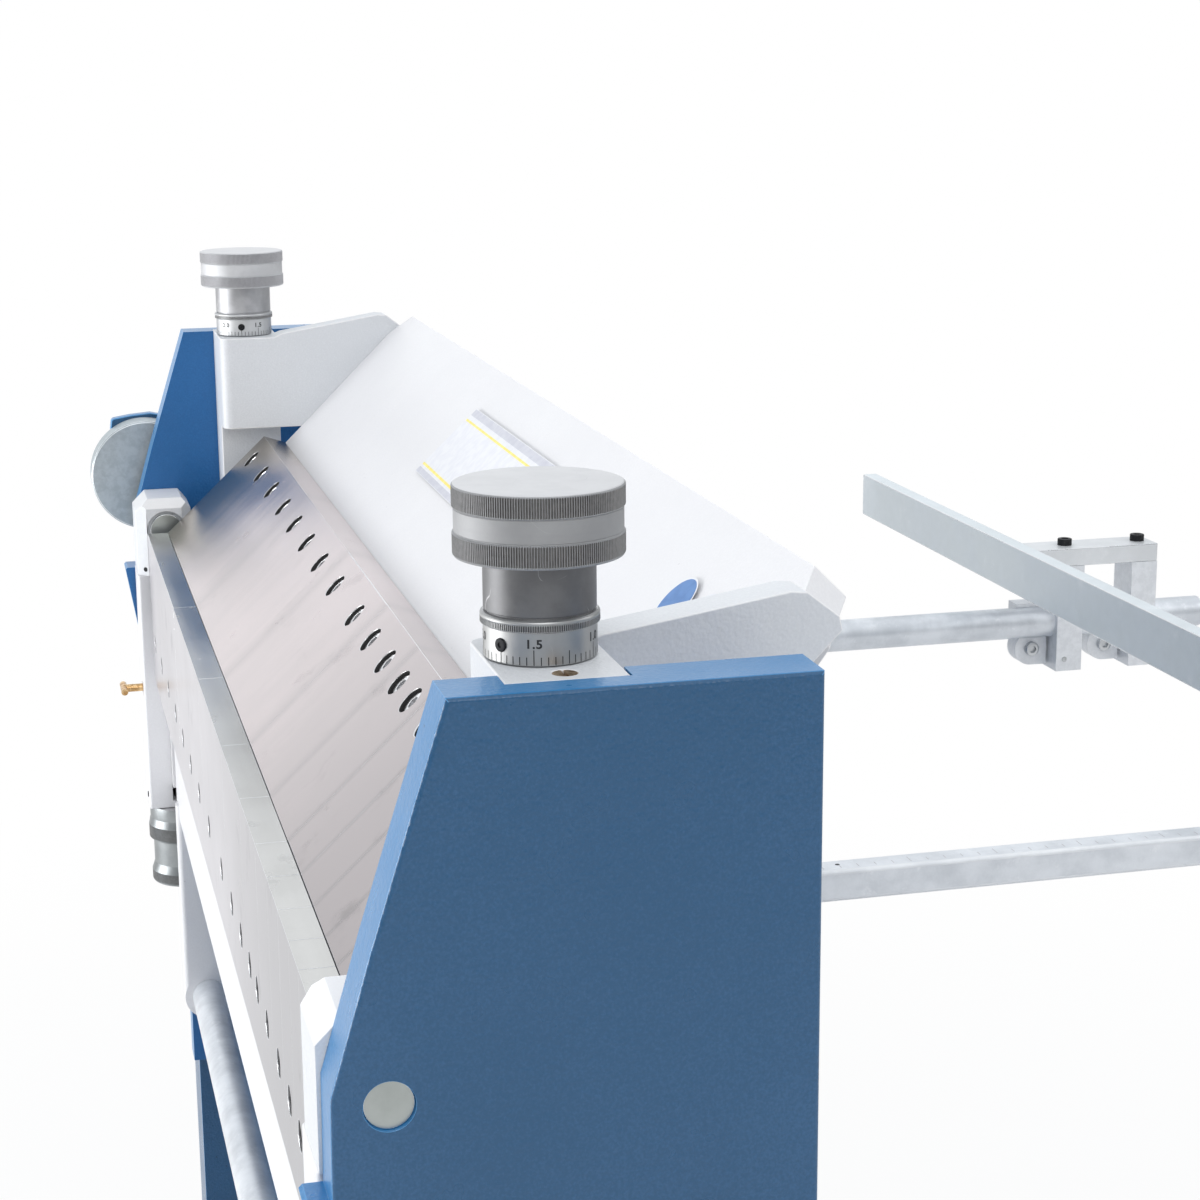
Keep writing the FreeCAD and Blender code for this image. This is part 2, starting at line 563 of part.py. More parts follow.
BLADE_Y0, BLADE_Y1 = -40.5, -24.5
BLADE_LOW = -276.0
BLADE_SCREW_Z = -239.3
BLADE_SINK, BLADE_HEAD_R = 8.0, 6.6
BEAM_HALF = WORK_HALF - 2.0


BEAM_FACE, BEAM_BACK = -28.0, 12.0
BEAM_LOW = -394.0
LUG_X0, LUG_X1 = 484.0, 498.0
LUG_Y0, LUG_Y1 = -30.5, 9.5
HANDLE_Z = -545.0
HANDLE_R = 14.0
POCKETS = ((-478, -262), (-250, -6), (6, 250), (262, 478))


def end_lug():
    """The bracket under an end of the beam that holds the handle bar."""
    mid, half = (LUG_Y0 + LUG_Y1) / 2.0, (LUG_Y1 - LUG_Y0) / 2.0
    shape = block(LUG_X0, LUG_X1, LUG_Y0, LUG_Y1, HANDLE_Z, BEAM_LOW + 16)
    rims = [e for e in shape.Edges if abs(e.Vertexes[0].Z - e.Vertexes[-1].Z) > 50]
    shape = shape.makeFillet(4.0, rims).fuse(rod_x(LUG_X0, LUG_X1, mid, HANDLE_Z, half))
    return shape.removeSplitter().cut(rod_x(LUG_X0 - 1, LUG_X1 + 1, mid, HANDLE_Z, HANDLE_R))


def bending_beam():
    shape = prism([(BLADE_Y1, -196), (-8, -196), (-8, -262), (BEAM_BACK, -280), (BEAM_BACK, BEAM_LOW + 8),
                   (BEAM_BACK - 8, BEAM_LOW), (BEAM_FACE + 5, BEAM_LOW), (BEAM_FACE, BEAM_LOW + 5),
                   (BEAM_FACE, BLADE_LOW - 0.3), (BLADE_Y1, BLADE_LOW - 0.3)], -BEAM_HALF, BEAM_HALF)
    for x0, x1 in POCKETS:
        shape = shape.cut(block(x0, x1, -12, BEAM_BACK + 1, BEAM_LOW + 14, -296))
    tongue = block(WORK_HALF + 1, TONGUE_X1, TONGUE_Y0, TONGUE_Y1, TONGUE_Z0, TONGUE_Z1)
    root = block(BEAM_HALF, WORK_HALF + 1, BLADE_Y1, TONGUE_Y1, TONGUE_Z0 - SLOT_SPARE, TONGUE_Z1)
    tongue = tongue.fuse(root)
    tongue = tongue.cut(rod_z(LOW_X, LOW_Y, TONGUE_Z0 - 1, TONGUE_Z1 + 1, LOW_R + RUN))
    lug = end_lug()
    return shape.fuse([tongue, mirrored(tongue), lug, mirrored(lug)]).removeSplitter()


def blade_segments():
    segments = []
    for width, start, end in segment_spans():
        bar = block(start + SEAM / 2.0, end - SEAM / 2.0, BLADE_Y0, BLADE_Y1, BLADE_LOW, PIVOT_Z)
        for offset in SCREW_OFFSETS.get(width, (width / 2.0,)):
            x = start + offset
            bar = bar.cut(rod_y(x, BLADE_Y0 - 1, BLADE_Y0 + BLADE_SINK, BLADE_SCREW_Z, BLADE_HEAD_R + 0.6))
        segments.append(bar)
    return Part.makeCompound(segments)


def blade_screws():
    y0, y1 = BLADE_Y0 + 0.6, BLADE_Y0 + BLADE_SINK
    return Part.makeCompound([rod_y(x, y0, y1, BLADE_SCREW_Z, BLADE_HEAD_R) for x in screw_spots()])


def handle_bar():
    bar = rod_x(-LUG_X1, LUG_X1, (LUG_Y0 + LUG_Y1) / 2.0, HANDLE_Z, HANDLE_R)
    rims = [e for e in bar.Edges if e.Curve.TypeId == "Part::GeomCircle"]
    return bar.makeChamfer(1.0, rims)


# Back gauge

STOP_Y0, STOP_Y1 = 571.0, 583.0
STOP_Z0, STOP_Z1 = -172.0, -137.0
ARM_STRIP_Z0, ARM_STRIP_Z1 = -167.0, -153.0
ARM_STRIP_Y1 = STOP_Y1 + 132.0
CARRIAGE_HALF = 15.0
CLAMP_Y, CLAMP_Z, CLAMP_R = 618.0, -234.0, 13.2
CLAMP_SLIT, CLAMP_SLIT_TOP = 2.0, -223.6
BODY_Y0, BODY_Y1 = CLAMP_Y + 14.8, CLAMP_Y + 35.9
BODY_Z0 = -250.0
SECOND = ARM_STRIP_Y1 - BODY_Y1     # from an arm's front clamp to its rear one
BOLT_Y = (BODY_Y0 + BODY_Y1) / 2.0


def stop_bar():
    return block(-WORK_HALF, WORK_HALF, STOP_Y0, STOP_Y1, STOP_Z0, STOP_Z1)


def gauge_arms():
    arms = []
    for x in (-GAUGE_X, GAUGE_X):
        x0, x1 = x - CARRIAGE_HALF, x + CARRIAGE_HALF
        arms.append(block(x0, x1, STOP_Y1, ARM_STRIP_Y1, ARM_STRIP_Z0, ARM_STRIP_Z1))
    return Part.makeCompound(arms)


def gauge_clamp(x, shift):
    """A block bored for its rail, with an ear slit from it below the bore."""
    slit_top = CLAMP_SLIT_TOP if x < 0 else GAUGE_Z - BAR_HALF
    x0, x1 = x - CARRIAGE_HALF, x + CARRIAGE_HALF
    body = block(x0, x1, BODY_Y0, BODY_Y1, BODY_Z0, ARM_STRIP_Z0)
    ear = rod_x(x0, x, CLAMP_Y, CLAMP_Z, CLAMP_R)
    ear = ear.fuse(block(x0, x, CLAMP_Y, BODY_Y0 - CLAMP_SLIT, CLAMP_Z - CLAMP_R, slit_top))
    ear = ear.fuse(block(x0, x, CLAMP_Y - CLAMP_R, BODY_Y0, slit_top, GAUGE_Z + CARRIAGE_HALF))
    shape = body.fuse(ear).removeSplitter()
    shape = shape.cut(rail(x, CLAMP_Y - CLAMP_R - 1, BODY_Y1 + 1, RUN))
    shape.translate(Vector(0, shift, 0))
    return shape


def gauge_carriages():
    return Part.makeCompound([gauge_clamp(x, y) for x in (-GAUGE_X, GAUGE_X) for y in (0.0, SECOND)])


def clamp_screws():
    screws = []
    for x in (-GAUGE_X, GAUGE_X):
        for y in (CLAMP_Y, CLAMP_Y + SECOND):
            screws.append(rod_x(x, x + 4, y, CLAMP_Z, 5.5))
    return Part.makeCompound(screws)


def arm_bolts():
    bolts = []
    for x in (-GAUGE_X, GAUGE_X):
        for y in (BOLT_Y, BOLT_Y + SECOND):
            bolts.append(rod_z(x, y, ARM_STRIP_Z1, ARM_STRIP_Z1 + 5, 5.5))
    return Part.makeCompound(bolts)


def pair(name, shape):
    return {name + "_right": shape, name + "_left": mirrored(shape)}


def nodes():
    made = {}
    for name, shape in (("side_frame", cheek()), ("leg", leg()), ("beam_end", beam_end()),
                        ("top_knob", top_knob()), ("scale_collar", scale_collar()), ("crank", crank()),
                        ("pivot_block", pivot_block()), ("arm_housing", arm_housing()),
                        ("lower_knob", lower_knob()), ("lock_screw", lock_screw())):
        made.update(pair(name, shape))
    for width, start, end in segment_spans():
        made["finger_%d" % width] = finger(width, start, end)
    for make in (cross_panel, cross_tie, frame_bolts, bed, bed_blade, bed_screws, gauge_rods, clamp_beam,
                 finger_screws, plug_screws, pedal_shaft, pedal_frame, tread_pad, counterweight, pivot_pins,
                 stop_disc, disc_arm, bending_beam, blade_segments, blade_screws, handle_bar, stop_bar,
                 gauge_arms, gauge_carriages, clamp_screws, arm_bolts):
        made[make.__name__] = make()
    made["shaft_bearings"] = both(shaft_bearing())
    made["draw_rods"] = both(draw_rod())
    return made


os.makedirs("parts", exist_ok=True)
for node, shape in sorted(nodes().items()):
    print(node, shape.isValid(), len(shape.Solids), round(shape.Volume / 1000.0, 1))
    shape.exportStep("parts/%s.step" % node)
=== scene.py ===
import bpy
import bmesh
import json
import math
from collections import namedtuple
from mathutils import Euler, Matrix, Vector


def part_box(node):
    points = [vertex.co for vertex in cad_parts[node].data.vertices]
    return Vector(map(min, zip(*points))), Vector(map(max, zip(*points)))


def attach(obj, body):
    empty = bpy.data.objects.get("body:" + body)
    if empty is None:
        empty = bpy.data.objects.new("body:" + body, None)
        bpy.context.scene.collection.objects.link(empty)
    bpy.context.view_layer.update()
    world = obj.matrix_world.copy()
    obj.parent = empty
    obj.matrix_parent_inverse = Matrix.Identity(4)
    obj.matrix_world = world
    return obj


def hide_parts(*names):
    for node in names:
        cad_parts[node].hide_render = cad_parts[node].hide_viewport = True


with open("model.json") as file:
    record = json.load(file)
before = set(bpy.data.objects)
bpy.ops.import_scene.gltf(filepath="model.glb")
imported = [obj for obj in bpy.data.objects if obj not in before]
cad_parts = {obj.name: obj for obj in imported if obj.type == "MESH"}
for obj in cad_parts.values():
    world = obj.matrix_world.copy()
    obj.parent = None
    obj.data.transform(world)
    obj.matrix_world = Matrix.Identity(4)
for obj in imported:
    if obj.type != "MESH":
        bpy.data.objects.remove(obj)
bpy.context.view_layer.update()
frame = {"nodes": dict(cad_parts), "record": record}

# Cheeks: the two thick steel plates that carry everything, one at each end.
# They are flame cut and edge milled, then sprayed with blue enamel that shows a slight orange peel
# and a few specks of dust. Their narrow faces and the faces between the cheeks take lighter
# copies of the blue, painted light; the broken edges are lighter still, thinned paint and a
# painted highlight.


class Signal:
    """A value on its way between shader nodes; arithmetic on it adds Math nodes."""

    def __init__(self, wiring, socket):
        self.wiring = wiring
        self.socket = socket

    def math(self, operation, *values):
        return self.wiring.node("ShaderNodeMath", {"operation": operation}, dict(enumerate(values)))

    def __add__(self, other):
        return self.math("ADD", self, other)

    def __rsub__(self, other):
        return self.math("SUBTRACT", other, self)

    def __mul__(self, other):
        return self.math("MULTIPLY", self, other)

    def __lt__(self, other):
        return self.math("LESS_THAN", self, other)


class Wiring:
    """A node tree; node() adds one node and returns one of its outputs."""

    def __init__(self, tree):
        self.tree = tree

    def node(self, kind, settings=None, inputs=None, out=0):
        made = self.tree.nodes.new(kind)
        for key, value in (settings or {}).items():
            setattr(made, key, value)
        for key, value in (inputs or {}).items():
            if isinstance(value, Signal):
                self.tree.links.new(value.socket, made.inputs[key])
            else:
                made.inputs[key].default_value = value
        return Signal(self, made.outputs[out])

    def eased(self, value, low, high, start=0.0, end=1.0):
        """Start where the value is at low, end where it is at high, and a smooth rise between."""
        span = {"Value": value, "From Min": low, "From Max": high, "To Min": start, "To Max": end}
        return self.node("ShaderNodeMapRange", {"interpolation_type": "SMOOTHSTEP"}, span)


class Finish(Wiring):
    """A material; feed() sends a changing value to its shader."""

    def __init__(self, name, **fixed):
        self.material = bpy.data.materials.new(name)
        self.material.use_nodes = True
        super().__init__(self.material.node_tree)
        self.shader = self.tree.nodes["Principled BSDF"]
        for socket, value in fixed.items():
            self.shader.inputs[socket.replace("_", " ")].default_value = value

    def feed(self, socket, signal):
        self.tree.links.new(signal.socket, self.shader.inputs[socket])

    def place(self, stretch=(1.0, 1.0, 1.0), turn=(0.0, 0.0, 0.0)):
        spot = self.node("ShaderNodeTexCoord", out="Object")
        faced = self.node("ShaderNodeMapping", None, {"Vector": spot, "Rotation": turn})
        return self.node("ShaderNodeMapping", None, {"Vector": faced, "Scale": stretch})

    def grain(self, scale, detail=3.0, rough=0.5, stretch=(1.0, 1.0, 1.0), turn=(0.0, 0.0, 0.0)):
        return self.node("ShaderNodeTexNoise", None, {
            "Vector": self.place(stretch, turn), "Scale": scale, "Detail": detail,
            "Roughness": rough})

    def specks(self, scale, size, share):
        """Round spots of about size, in that share of the cells of a grid of scale per metre."""
        cells = {"Vector": self.place(), "Scale": scale}
        near = self.node("ShaderNodeTexVoronoi", {"feature": "F1"}, cells)
        pick = self.node("ShaderNodeTexVoronoi", {"feature": "F1"}, cells, out="Color")
        parts = self.node("ShaderNodeSeparateColor", None, {"Color": pick})
        return self.eased(near, size * scale, size * scale * 0.6) * (parts < share)

    def tone(self, factor, dark, light):
        mixed = self.node("ShaderNodeMix", {"data_type": "RGBA"}, {"Factor": factor}, out=2)
        mixed.socket.node.inputs[6].default_value = (*dark, 1.0)
        mixed.socket.node.inputs[7].default_value = (*light, 1.0)
        return mixed

    def tint(self, factor, under, colour):
        mixed = self.node("ShaderNodeMix", {"data_type": "RGBA"}, {"Factor": factor}, out=2)
        self.tree.links.new(under.socket, mixed.socket.node.inputs[6])
        mixed.socket.node.inputs[7].default_value = (*colour, 1.0)
        return mixed

    def relief(self, height, strength, depth):
        self.feed("Normal", self.node("ShaderNodeBump", None, {
            "Height": height, "Strength": strength, "Distance": depth}))


def enamel(name, dark, light, dust, roughness, peel):
    """Sprayed enamel: a slow drift of tone, a fine orange peel and a few specks of dust."""
    paint = Finish(name, Specular_IOR_Level=0.5)
    drift = paint.eased(paint.grain(6.0, 4.0) * 0.4 + paint.grain(850.0, 2.0) * 0.5, 0.34, 0.66)
    spots = paint.specks(95.0, 0.0007, 0.16)
    paint.feed("Base Color", paint.tint(spots, paint.tone(drift, dark, light), dust))
    paint.feed("Roughness", paint.grain(40.0, 3.0) * 0.16 + (roughness - 0.08))
    paint.relief(paint.grain(520.0, 2.0) + paint.grain(130.0, 2.0) * 1.6 + spots * 1.5, peel,
                 0.0007)
    return paint.material


def body_of(node):
    for body, names in frame["record"]["behaviour"]["bodies"].items():
        if node in names:
            return body


def fitted(name, mesh, finishes, body, slot, *replaced, spot=(0.0, 0.0, 0.0)):
    """A piece of its own at spot, riding on a body; its faces pick among the finishes."""
    for finish in finishes:
        mesh.materials.append(finish)
    piece = bpy.data.objects.new(name, mesh)
    piece.location = spot
    bpy.context.scene.collection.objects.link(piece)
    return settled(piece, body, slot, *replaced)


def settled(piece, body, slot, *replaced):
    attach(piece, body)
    if replaced:
        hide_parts(*replaced)
    return piece


SHARP_EDGE = 28.0           # degrees between the faces of an edge that gets broken
WELD = 0.00002


def softened(node, material, worn, width, slot, ease=None, others=()):
    """The node's own form with its sharp edges broken to the width; the broken edges take the
    worn finish, which is lighter: real wear and a painted highlight along the edges. Ease gives an
    edge its share of the width. Each of the others is a test on a face and the finish of the faces
    that pass it."""
    mesh = frame["nodes"][node].data.copy()
    mesh.materials.clear()
    sheet = bmesh.new()
    sheet.from_mesh(mesh)
    bmesh.ops.remove_doubles(sheet, verts=sheet.verts, dist=WELD)
    bmesh.ops.dissolve_limit(sheet, angle_limit=math.radians(1.0), verts=sheet.verts,
                             edges=sheet.edges)
    sheet.normal_update()
    for face in sheet.faces:
        face.smooth = True
        for place, (passes, finish) in enumerate(others):
            if passes(face):
                face.material_index = place + 2
    broken = sheet.edges.layers.float.new("bevel_weight_edge")
    for edge in sheet.edges:
        if len(edge.link_faces) == 2 and edge.calc_face_angle(0.0) > math.radians(SHARP_EDGE):
            edge[broken] = ease(edge) if ease else 1.0
    sheet.to_mesh(mesh)
    sheet.free()
    for finish in (material, worn, *[finish for passes, finish in others]):
        mesh.materials.append(finish)
    piece = bpy.data.objects.new(node + "_shell", mesh)
    bpy.context.scene.collection.objects.link(piece)
    rounding = piece.modifiers.new("rounding", "BEVEL")
    rounding.width = width
    rounding.segments = 3
    rounding.limit_method = "WEIGHT"
    rounding.material = 1
    flats = piece.modifiers.new("flat_faces", "WEIGHTED_NORMAL")
    flats.weight = 100
    return settled(piece, body_of(node), slot, node)


def on_rim(face):
    """The narrow faces round a plate that stands across x."""
    return abs(face.normal.x) < 0.5


def on_inside(face):
    """The face of a cheek that looks at the other cheek."""
    return face.normal.x * face.calc_center_median().x < -0.4


blue = enamel("blue_enamel", (0.018, 0.088, 0.195), (0.033, 0.116, 0.250), (0.007, 0.030, 0.07),
              roughness=0.30, peel=0.34)
# Much lighter blue for the broken edges: thinned paint and a painted highlight.
blue_worn_and_lit_edge = enamel("blue_enamel_worn_and_lit_edge", (0.080, 0.290, 0.580), (0.120, 0.360, 0.680),
                   (0.30, 0.45, 0.62), roughness=0.28, peel=0.06)
# Lighter, bluer copy of the enamel for the cheek faces that look at each other: painted light.
blue_lit_inside = enamel("blue_enamel_painted_lit_inside", (0.012, 0.118, 0.330), (0.017, 0.142, 0.390),
                     (0.006, 0.045, 0.14), roughness=0.40, peel=0.34)
# Lighter copy of the enamel for the narrow faces of the cheeks and the catch plate: painted light.
blue_lit_rim = enamel("blue_enamel_painted_lit_rim", (0.030, 0.190, 0.430), (0.040, 0.215, 0.480),
                  (0.020, 0.090, 0.200), roughness=0.30, peel=0.20)
for side, width in (("left", 0.0040), ("right", 0.0014)):
    softened("side_frame_" + side, blue, blue_worn_and_lit_edge, width, "blue_paint",
             others=((on_rim, blue_lit_rim), (on_inside, blue_lit_inside)))

# Stand: folded steel legs on foot plates, with gussets, and the panel and the square tube between
# them. Welded from mild steel and sprayed with the same blue; all of it is bolted to the cheeks.

for node, width in (("leg_left", 0.0012), ("leg_right", 0.0012), ("cross_panel", 0.0010),
                    ("cross_tie", 0.0020)):
    softened(node, blue, blue_worn_and_lit_edge, width, "blue_paint")

# Frame bolts: hexagon bolts, zinc plated, with chamfered heads.
# They hold the legs and the bed to the cheeks and are left unpainted.


def plated(name, dark, light, bloom, roughness, cloud, metallic=0.9):
    """Zinc on steel: a cloudy crystal pattern, dull patches and a little white bloom."""
    zinc = Finish(name, Metallic=metallic)
    cloudy = zinc.eased(zinc.grain(cloud, 5.0, 0.62), 0.34, 0.66)
    crystal = zinc.node("ShaderNodeTexVoronoi", {"feature": "SMOOTH_F1"},
                        {"Vector": zinc.place((1.0, 0.35, 1.0)), "Scale": cloud * 6.0})
    under = zinc.tone(cloudy * 0.7 + crystal * 0.3, dark, light)
    patches = zinc.eased(zinc.grain(cloud * 3.0, 6.0, 0.7), 0.56, 0.74)
    zinc.feed("Base Color", zinc.tint(patches * 0.6, under, bloom))
    zinc.feed("Roughness", cloudy * 0.14 + crystal * 0.06 + roughness)
    zinc.relief(zinc.grain(700.0, 3.0) + crystal * 0.8, 0.10, 0.0004)
    return zinc.material


zinc = plated("zinc_plate", (0.44, 0.46, 0.48), (0.66, 0.68, 0.70), (0.74, 0.76, 0.78),
              roughness=0.24, cloud=22.0)
zinc_edge = plated("zinc_plate_edge", (0.60, 0.62, 0.64), (0.80, 0.81, 0.83), (0.85, 0.86, 0.87),
                   roughness=0.20, cloud=30.0)
softened("frame_bolts", zinc, zinc_edge, 0.0009, "zinc_steel")

# Bed: a welded box of blue painted plate that spans the cheeks under the fold.
# Its ribs and floor can be seen from behind and below.

softened("bed", blue, blue_worn_and_lit_edge, 0.0010, "blue_paint")

# Bed blade: a bar of hardened tool steel, ground all over, screwed on the bed's front edge.
# The grinding leaves fine lines and the steel is only wiped with oil, so it shows faint stains.

DARK_RIGHT_FROM, DARK_RIGHT_FULL = -0.05, 0.42    # along x, where the row of tools is painted darker, a painted reflection
FAR_REFLECTION_FROM, FAR_REFLECTION_FULL = -0.34, -0.48         # along x, where the row's left end takes a painted dark reflection
FAR_REFLECTION = (0.50, 0.45, 0.39)
SEAM_SHADE_REACH = 0.11                             # of a finger's width


def ground(name, dark, light, stain_and_shade_colour, roughness, lines, turn=(0.0, 0.0, 0.0), ends=0.0, handled=0.0):
    """Ground tool steel: a fine lay of grinding lines, soft clouds of tone, old oil, small nicks.
    The row of tools is painted darker towards the right, a painted reflection, by the share that
    handled gives. With ends, a finger is painted darker near its two sides, painted shade of their
    rounding, by that share, and the row's left end takes a painted dark reflection."""
    steel = Finish(name, Metallic=1.0)
    clouds = steel.grain(9.0, 5.0, 0.6)
    lay = steel.grain(60.0, 4.0, 0.6, lines, turn)
    oil = steel.eased(steel.grain(26.0, 6.0, 0.66), 0.56, 0.78)
    nicks = steel.specks(55.0, 0.0006, 0.10)
    under = steel.tone(steel.eased(clouds * 0.6 + lay * 0.4, 0.35, 0.65), dark, light)
    stain_and_shade = oil * 0.25 + nicks * 0.35
    along = steel.node("ShaderNodeSeparateXYZ", None, {"Vector": steel.place()}, out="X")
    if handled:
        # Painted reflection: the row darker towards the right.
        stain_and_shade = stain_and_shade + steel.eased(along, DARK_RIGHT_FROM, DARK_RIGHT_FULL, 0.0, handled)
    if ends:
        # Painted dark reflection over the row's left end.
        under = steel.tint(steel.eased(along, FAR_REFLECTION_FROM, FAR_REFLECTION_FULL), under, FAR_REFLECTION)
        # Painted shade: each finger darker near its two sides, for their rounding.
        boxed = steel.node("ShaderNodeTexCoord", out="Generated")
        across = steel.node("ShaderNodeSeparateXYZ", None, {"Vector": boxed}, out="X")
        inward = across.math("MINIMUM", across, 1.0 - across)
        stain_and_shade = stain_and_shade + steel.eased(inward, SEAM_SHADE_REACH, 0.0, 0.0, ends) * (lay + 0.5)
    steel.feed("Base Color", steel.tint(stain_and_shade, under, stain_and_shade_colour))
    steel.feed("Roughness", lay * 0.10 + clouds * 0.10 + oil * 0.10 + roughness)
    steel.relief(lay + nicks * 0.6, 0.07, 0.0003)
    return steel.material


# This steel is painted darker towards the right of the row, a painted reflection.
blade_steel = ground("blade_steel", (0.575, 0.565, 0.60), (0.675, 0.665, 0.70),
                     (0.28, 0.28, 0.29), roughness=0.20, lines=(0.06, 1.0, 0.25), handled=0.6)
blade_edge = ground("blade_steel_edge", (0.66, 0.68, 0.70), (0.80, 0.81, 0.82),
                    (0.60, 0.60, 0.60), roughness=0.16, lines=(0.06, 1.0, 1.0))
softened("bed_blade", blade_steel, blade_edge, 0.0005, "tool_steel")

# Bed screws: socket head screws, blackened, sunk below the blade's top.
# Nine in a row hold the bed blade down.

UP, FRONT, RIGHT, OFF_SLOPE = (0, 0, 1), (0, -1, 0), (1, 0, 0), (0, -1, 1)
Head = namedtuple("Head", "radius depth flats rounding")


def socket_screws(name, spots, axis, head, material, body, slot, *replaced):
    """Cylinder heads with a rounded rim and a hexagon socket; spots are the middles of their
    outer faces, which look along the axis."""
    radius, depth, flats, rounding = head
    flare, lip, hollow = 1.06, 0.0003, depth * 0.55
    steps = 36
    out = Vector(axis).normalized()
    stand = out.to_track_quat("Z", "Y").to_matrix()
    arc = [(radius - rounding * (1 - math.cos(a)), -rounding * (1 - math.sin(a)))
           for a in (math.radians(t) for t in (0, 30, 60, 90))]
    rings = [(radius, -depth)] + arc
    sheet = bmesh.new()
    for spot in spots:
        base = Vector(spot)

        def point(r, turn, z):
            place = Vector((r * math.cos(turn), r * math.sin(turn), z))
            return sheet.verts.new(base + stand @ place)

        turns = [2 * math.pi * k / steps for k in range(steps)]
        hexagon = [flats / 2 / math.cos((turn % (math.pi / 3)) - math.pi / 6) for turn in turns]
        loops = [[point(r, turn, z) for turn in turns] for r, z in rings]
        loops.append([point(r * flare, turn, 0) for r, turn in zip(hexagon, turns)])
        loops.append([point(r, turn, -lip) for r, turn in zip(hexagon, turns)])
        loops.append([point(r, turn, -hollow) for r, turn in zip(hexagon, turns)])
        for low, high in zip(loops, loops[1:]):
            for k in range(steps):
                sheet.faces.new((low[k], low[(k + 1) % steps], high[(k + 1) % steps], high[k]))
        sheet.faces.new(loops[0][::-1])
        sheet.faces.new(loops[-1])
    return fitted(name, polished(sheet, name), (material,), body, slot, *replaced)


def polished(sheet, name, angle=32.0):
    """The mesh of a bmesh, smooth except where its faces meet at more than the angle."""
    for face in sheet.faces:
        face.smooth = True
    mesh = bpy.data.meshes.new(name)
    sheet.to_mesh(mesh)
    sheet.free()
    mesh.set_sharp_from_angle(angle=math.radians(angle))
    return mesh


def blackened(name, dark, light, rub):
    """Black oxide on steel: matt, a little brown where it has been handled."""
    black = Finish(name, Metallic=0.8)
    worn = black.eased(black.grain(260.0, 4.0, 0.6), 0.55, 0.75)
    rubbed = worn * 0.5
    under = black.tone(black.grain(120.0, 3.0), dark, light)
    black.feed("Base Color", black.tint(rubbed, under, rub))
    black.feed("Roughness", worn * -0.12 + 0.48)
    black.relief(black.grain(900.0, 2.0), 0.08, 0.0003)
    return black.material


black = blackened("black_oxide", (0.014, 0.015, 0.017), (0.034, 0.035, 0.039),
                  (0.10, 0.095, 0.09))
FIRST_SCREW, SCREW_STEP = -0.48, 0.12
low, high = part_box("bed_screws")
row = [(FIRST_SCREW + SCREW_STEP * k, (low.y + high.y) / 2, high.z) for k in range(9)]
socket_screws("bed_screw_heads", row, UP, Head(0.0065, 0.0075, 0.0060, 0.0006), black, "stand",
              "black_oxide", "bed_screws")

# Gauge rods: a drawn square bar on the right and a round rod on the left, galvanised, held in
# bosses on the back of the bed. The zinc is mottled; the bar has a rule of fine lines along its top
# and a small black disc on it, painted shade of a small hole.

galvanised = plated("galvanised_rod", (0.58, 0.61, 0.65), (0.80, 0.83, 0.87), (0.88, 0.90, 0.93),
                    roughness=0.28, cloud=34.0, metallic=0.35)
rod_edge = plated("galvanised_edge", (0.72, 0.74, 0.77), (0.84, 0.86, 0.88), (0.88, 0.90, 0.92),
                  roughness=0.34, cloud=40.0, metallic=0.15)
softened("gauge_rods", galvanised, rod_edge, 0.0022, "zinc_steel")

RAIL_X, RAIL_TOP = 0.258, 0.8513
INK = 0.00003               # how far a mark stands off the steel
MARKS, FIRST_MARK, MARK_STEP = 63, 0.034, 0.010
MARK_END, MARK_HALF = 0.0045, 0.0002
LONG_MARK, SHORT_MARK = 0.0075, 0.0045
HOLE_X, HOLE_Y, HOLE_R = RAIL_X - 0.001, 0.1935, 0.0013
rule = bmesh.new()
for k in range(MARKS):
    place = FIRST_MARK + MARK_STEP * k
    start = MARK_END - (LONG_MARK if k % 5 == 0 else SHORT_MARK)
    corners = ((start, -MARK_HALF), (MARK_END, -MARK_HALF), (MARK_END, MARK_HALF),
               (start, MARK_HALF))
    rule.faces.new([rule.verts.new((RAIL_X + along, place + across, RAIL_TOP + INK))
                    for along, across in corners])
etched = Finish("etched_line", Roughness=0.6)
etched.feed("Base Color", etched.tone(etched.grain(400.0, 3.0), (0.34, 0.33, 0.35),
                                      (0.60, 0.58, 0.60)))
fitted("rail_scale", polished(rule, "rail_scale"), (etched.material,), "stand", "black_oxide")
# A flat black disc on the bar's top: painted shade of a small hole.
pin = bmesh.new()
pin.faces.new([pin.verts.new((HOLE_X + HOLE_R * math.cos(turn), HOLE_Y + HOLE_R * math.sin(turn),
                              RAIL_TOP + INK)) for turn in (math.pi * k / 12 for k in range(24))])
fitted("rail_hole_shade", polished(pin, "rail_hole_shade"), (black,), "stand", "black_oxide")

# Clamping beam: a thick sloping plate with ribs behind it, welded, filled and sprayed white.
# The face is smooth and semi-gloss; its top edge is bevelled and the ends are cut off on the slant.

# One white enamel in two copies: the lighter one on the arms and the bending beam, painted light on
# their front faces, and the darker one on the clamping beam, painted shade on its lit face.
white = enamel("white_enamel", (0.77, 0.77, 0.79), (0.81, 0.81, 0.83), (0.60, 0.60, 0.62),
               roughness=0.38, peel=0.10)
shaded_beam_white = enamel("beam_enamel_painted_shade", (0.71, 0.71, 0.73), (0.75, 0.75, 0.77), (0.60, 0.60, 0.62),
                    roughness=0.38, peel=0.10)
white_edge = enamel("white_enamel_edge", (0.79, 0.79, 0.81), (0.84, 0.84, 0.85),
                    (0.66, 0.66, 0.68), roughness=0.34, peel=0.05)
softened("clamp_beam", shaded_beam_white, white_edge, 0.0016, "white_paint")

# Stripe plate: a printed foil stuck to the middle of the sloping face, with grey and yellow
# stripes. Its field is left bare.

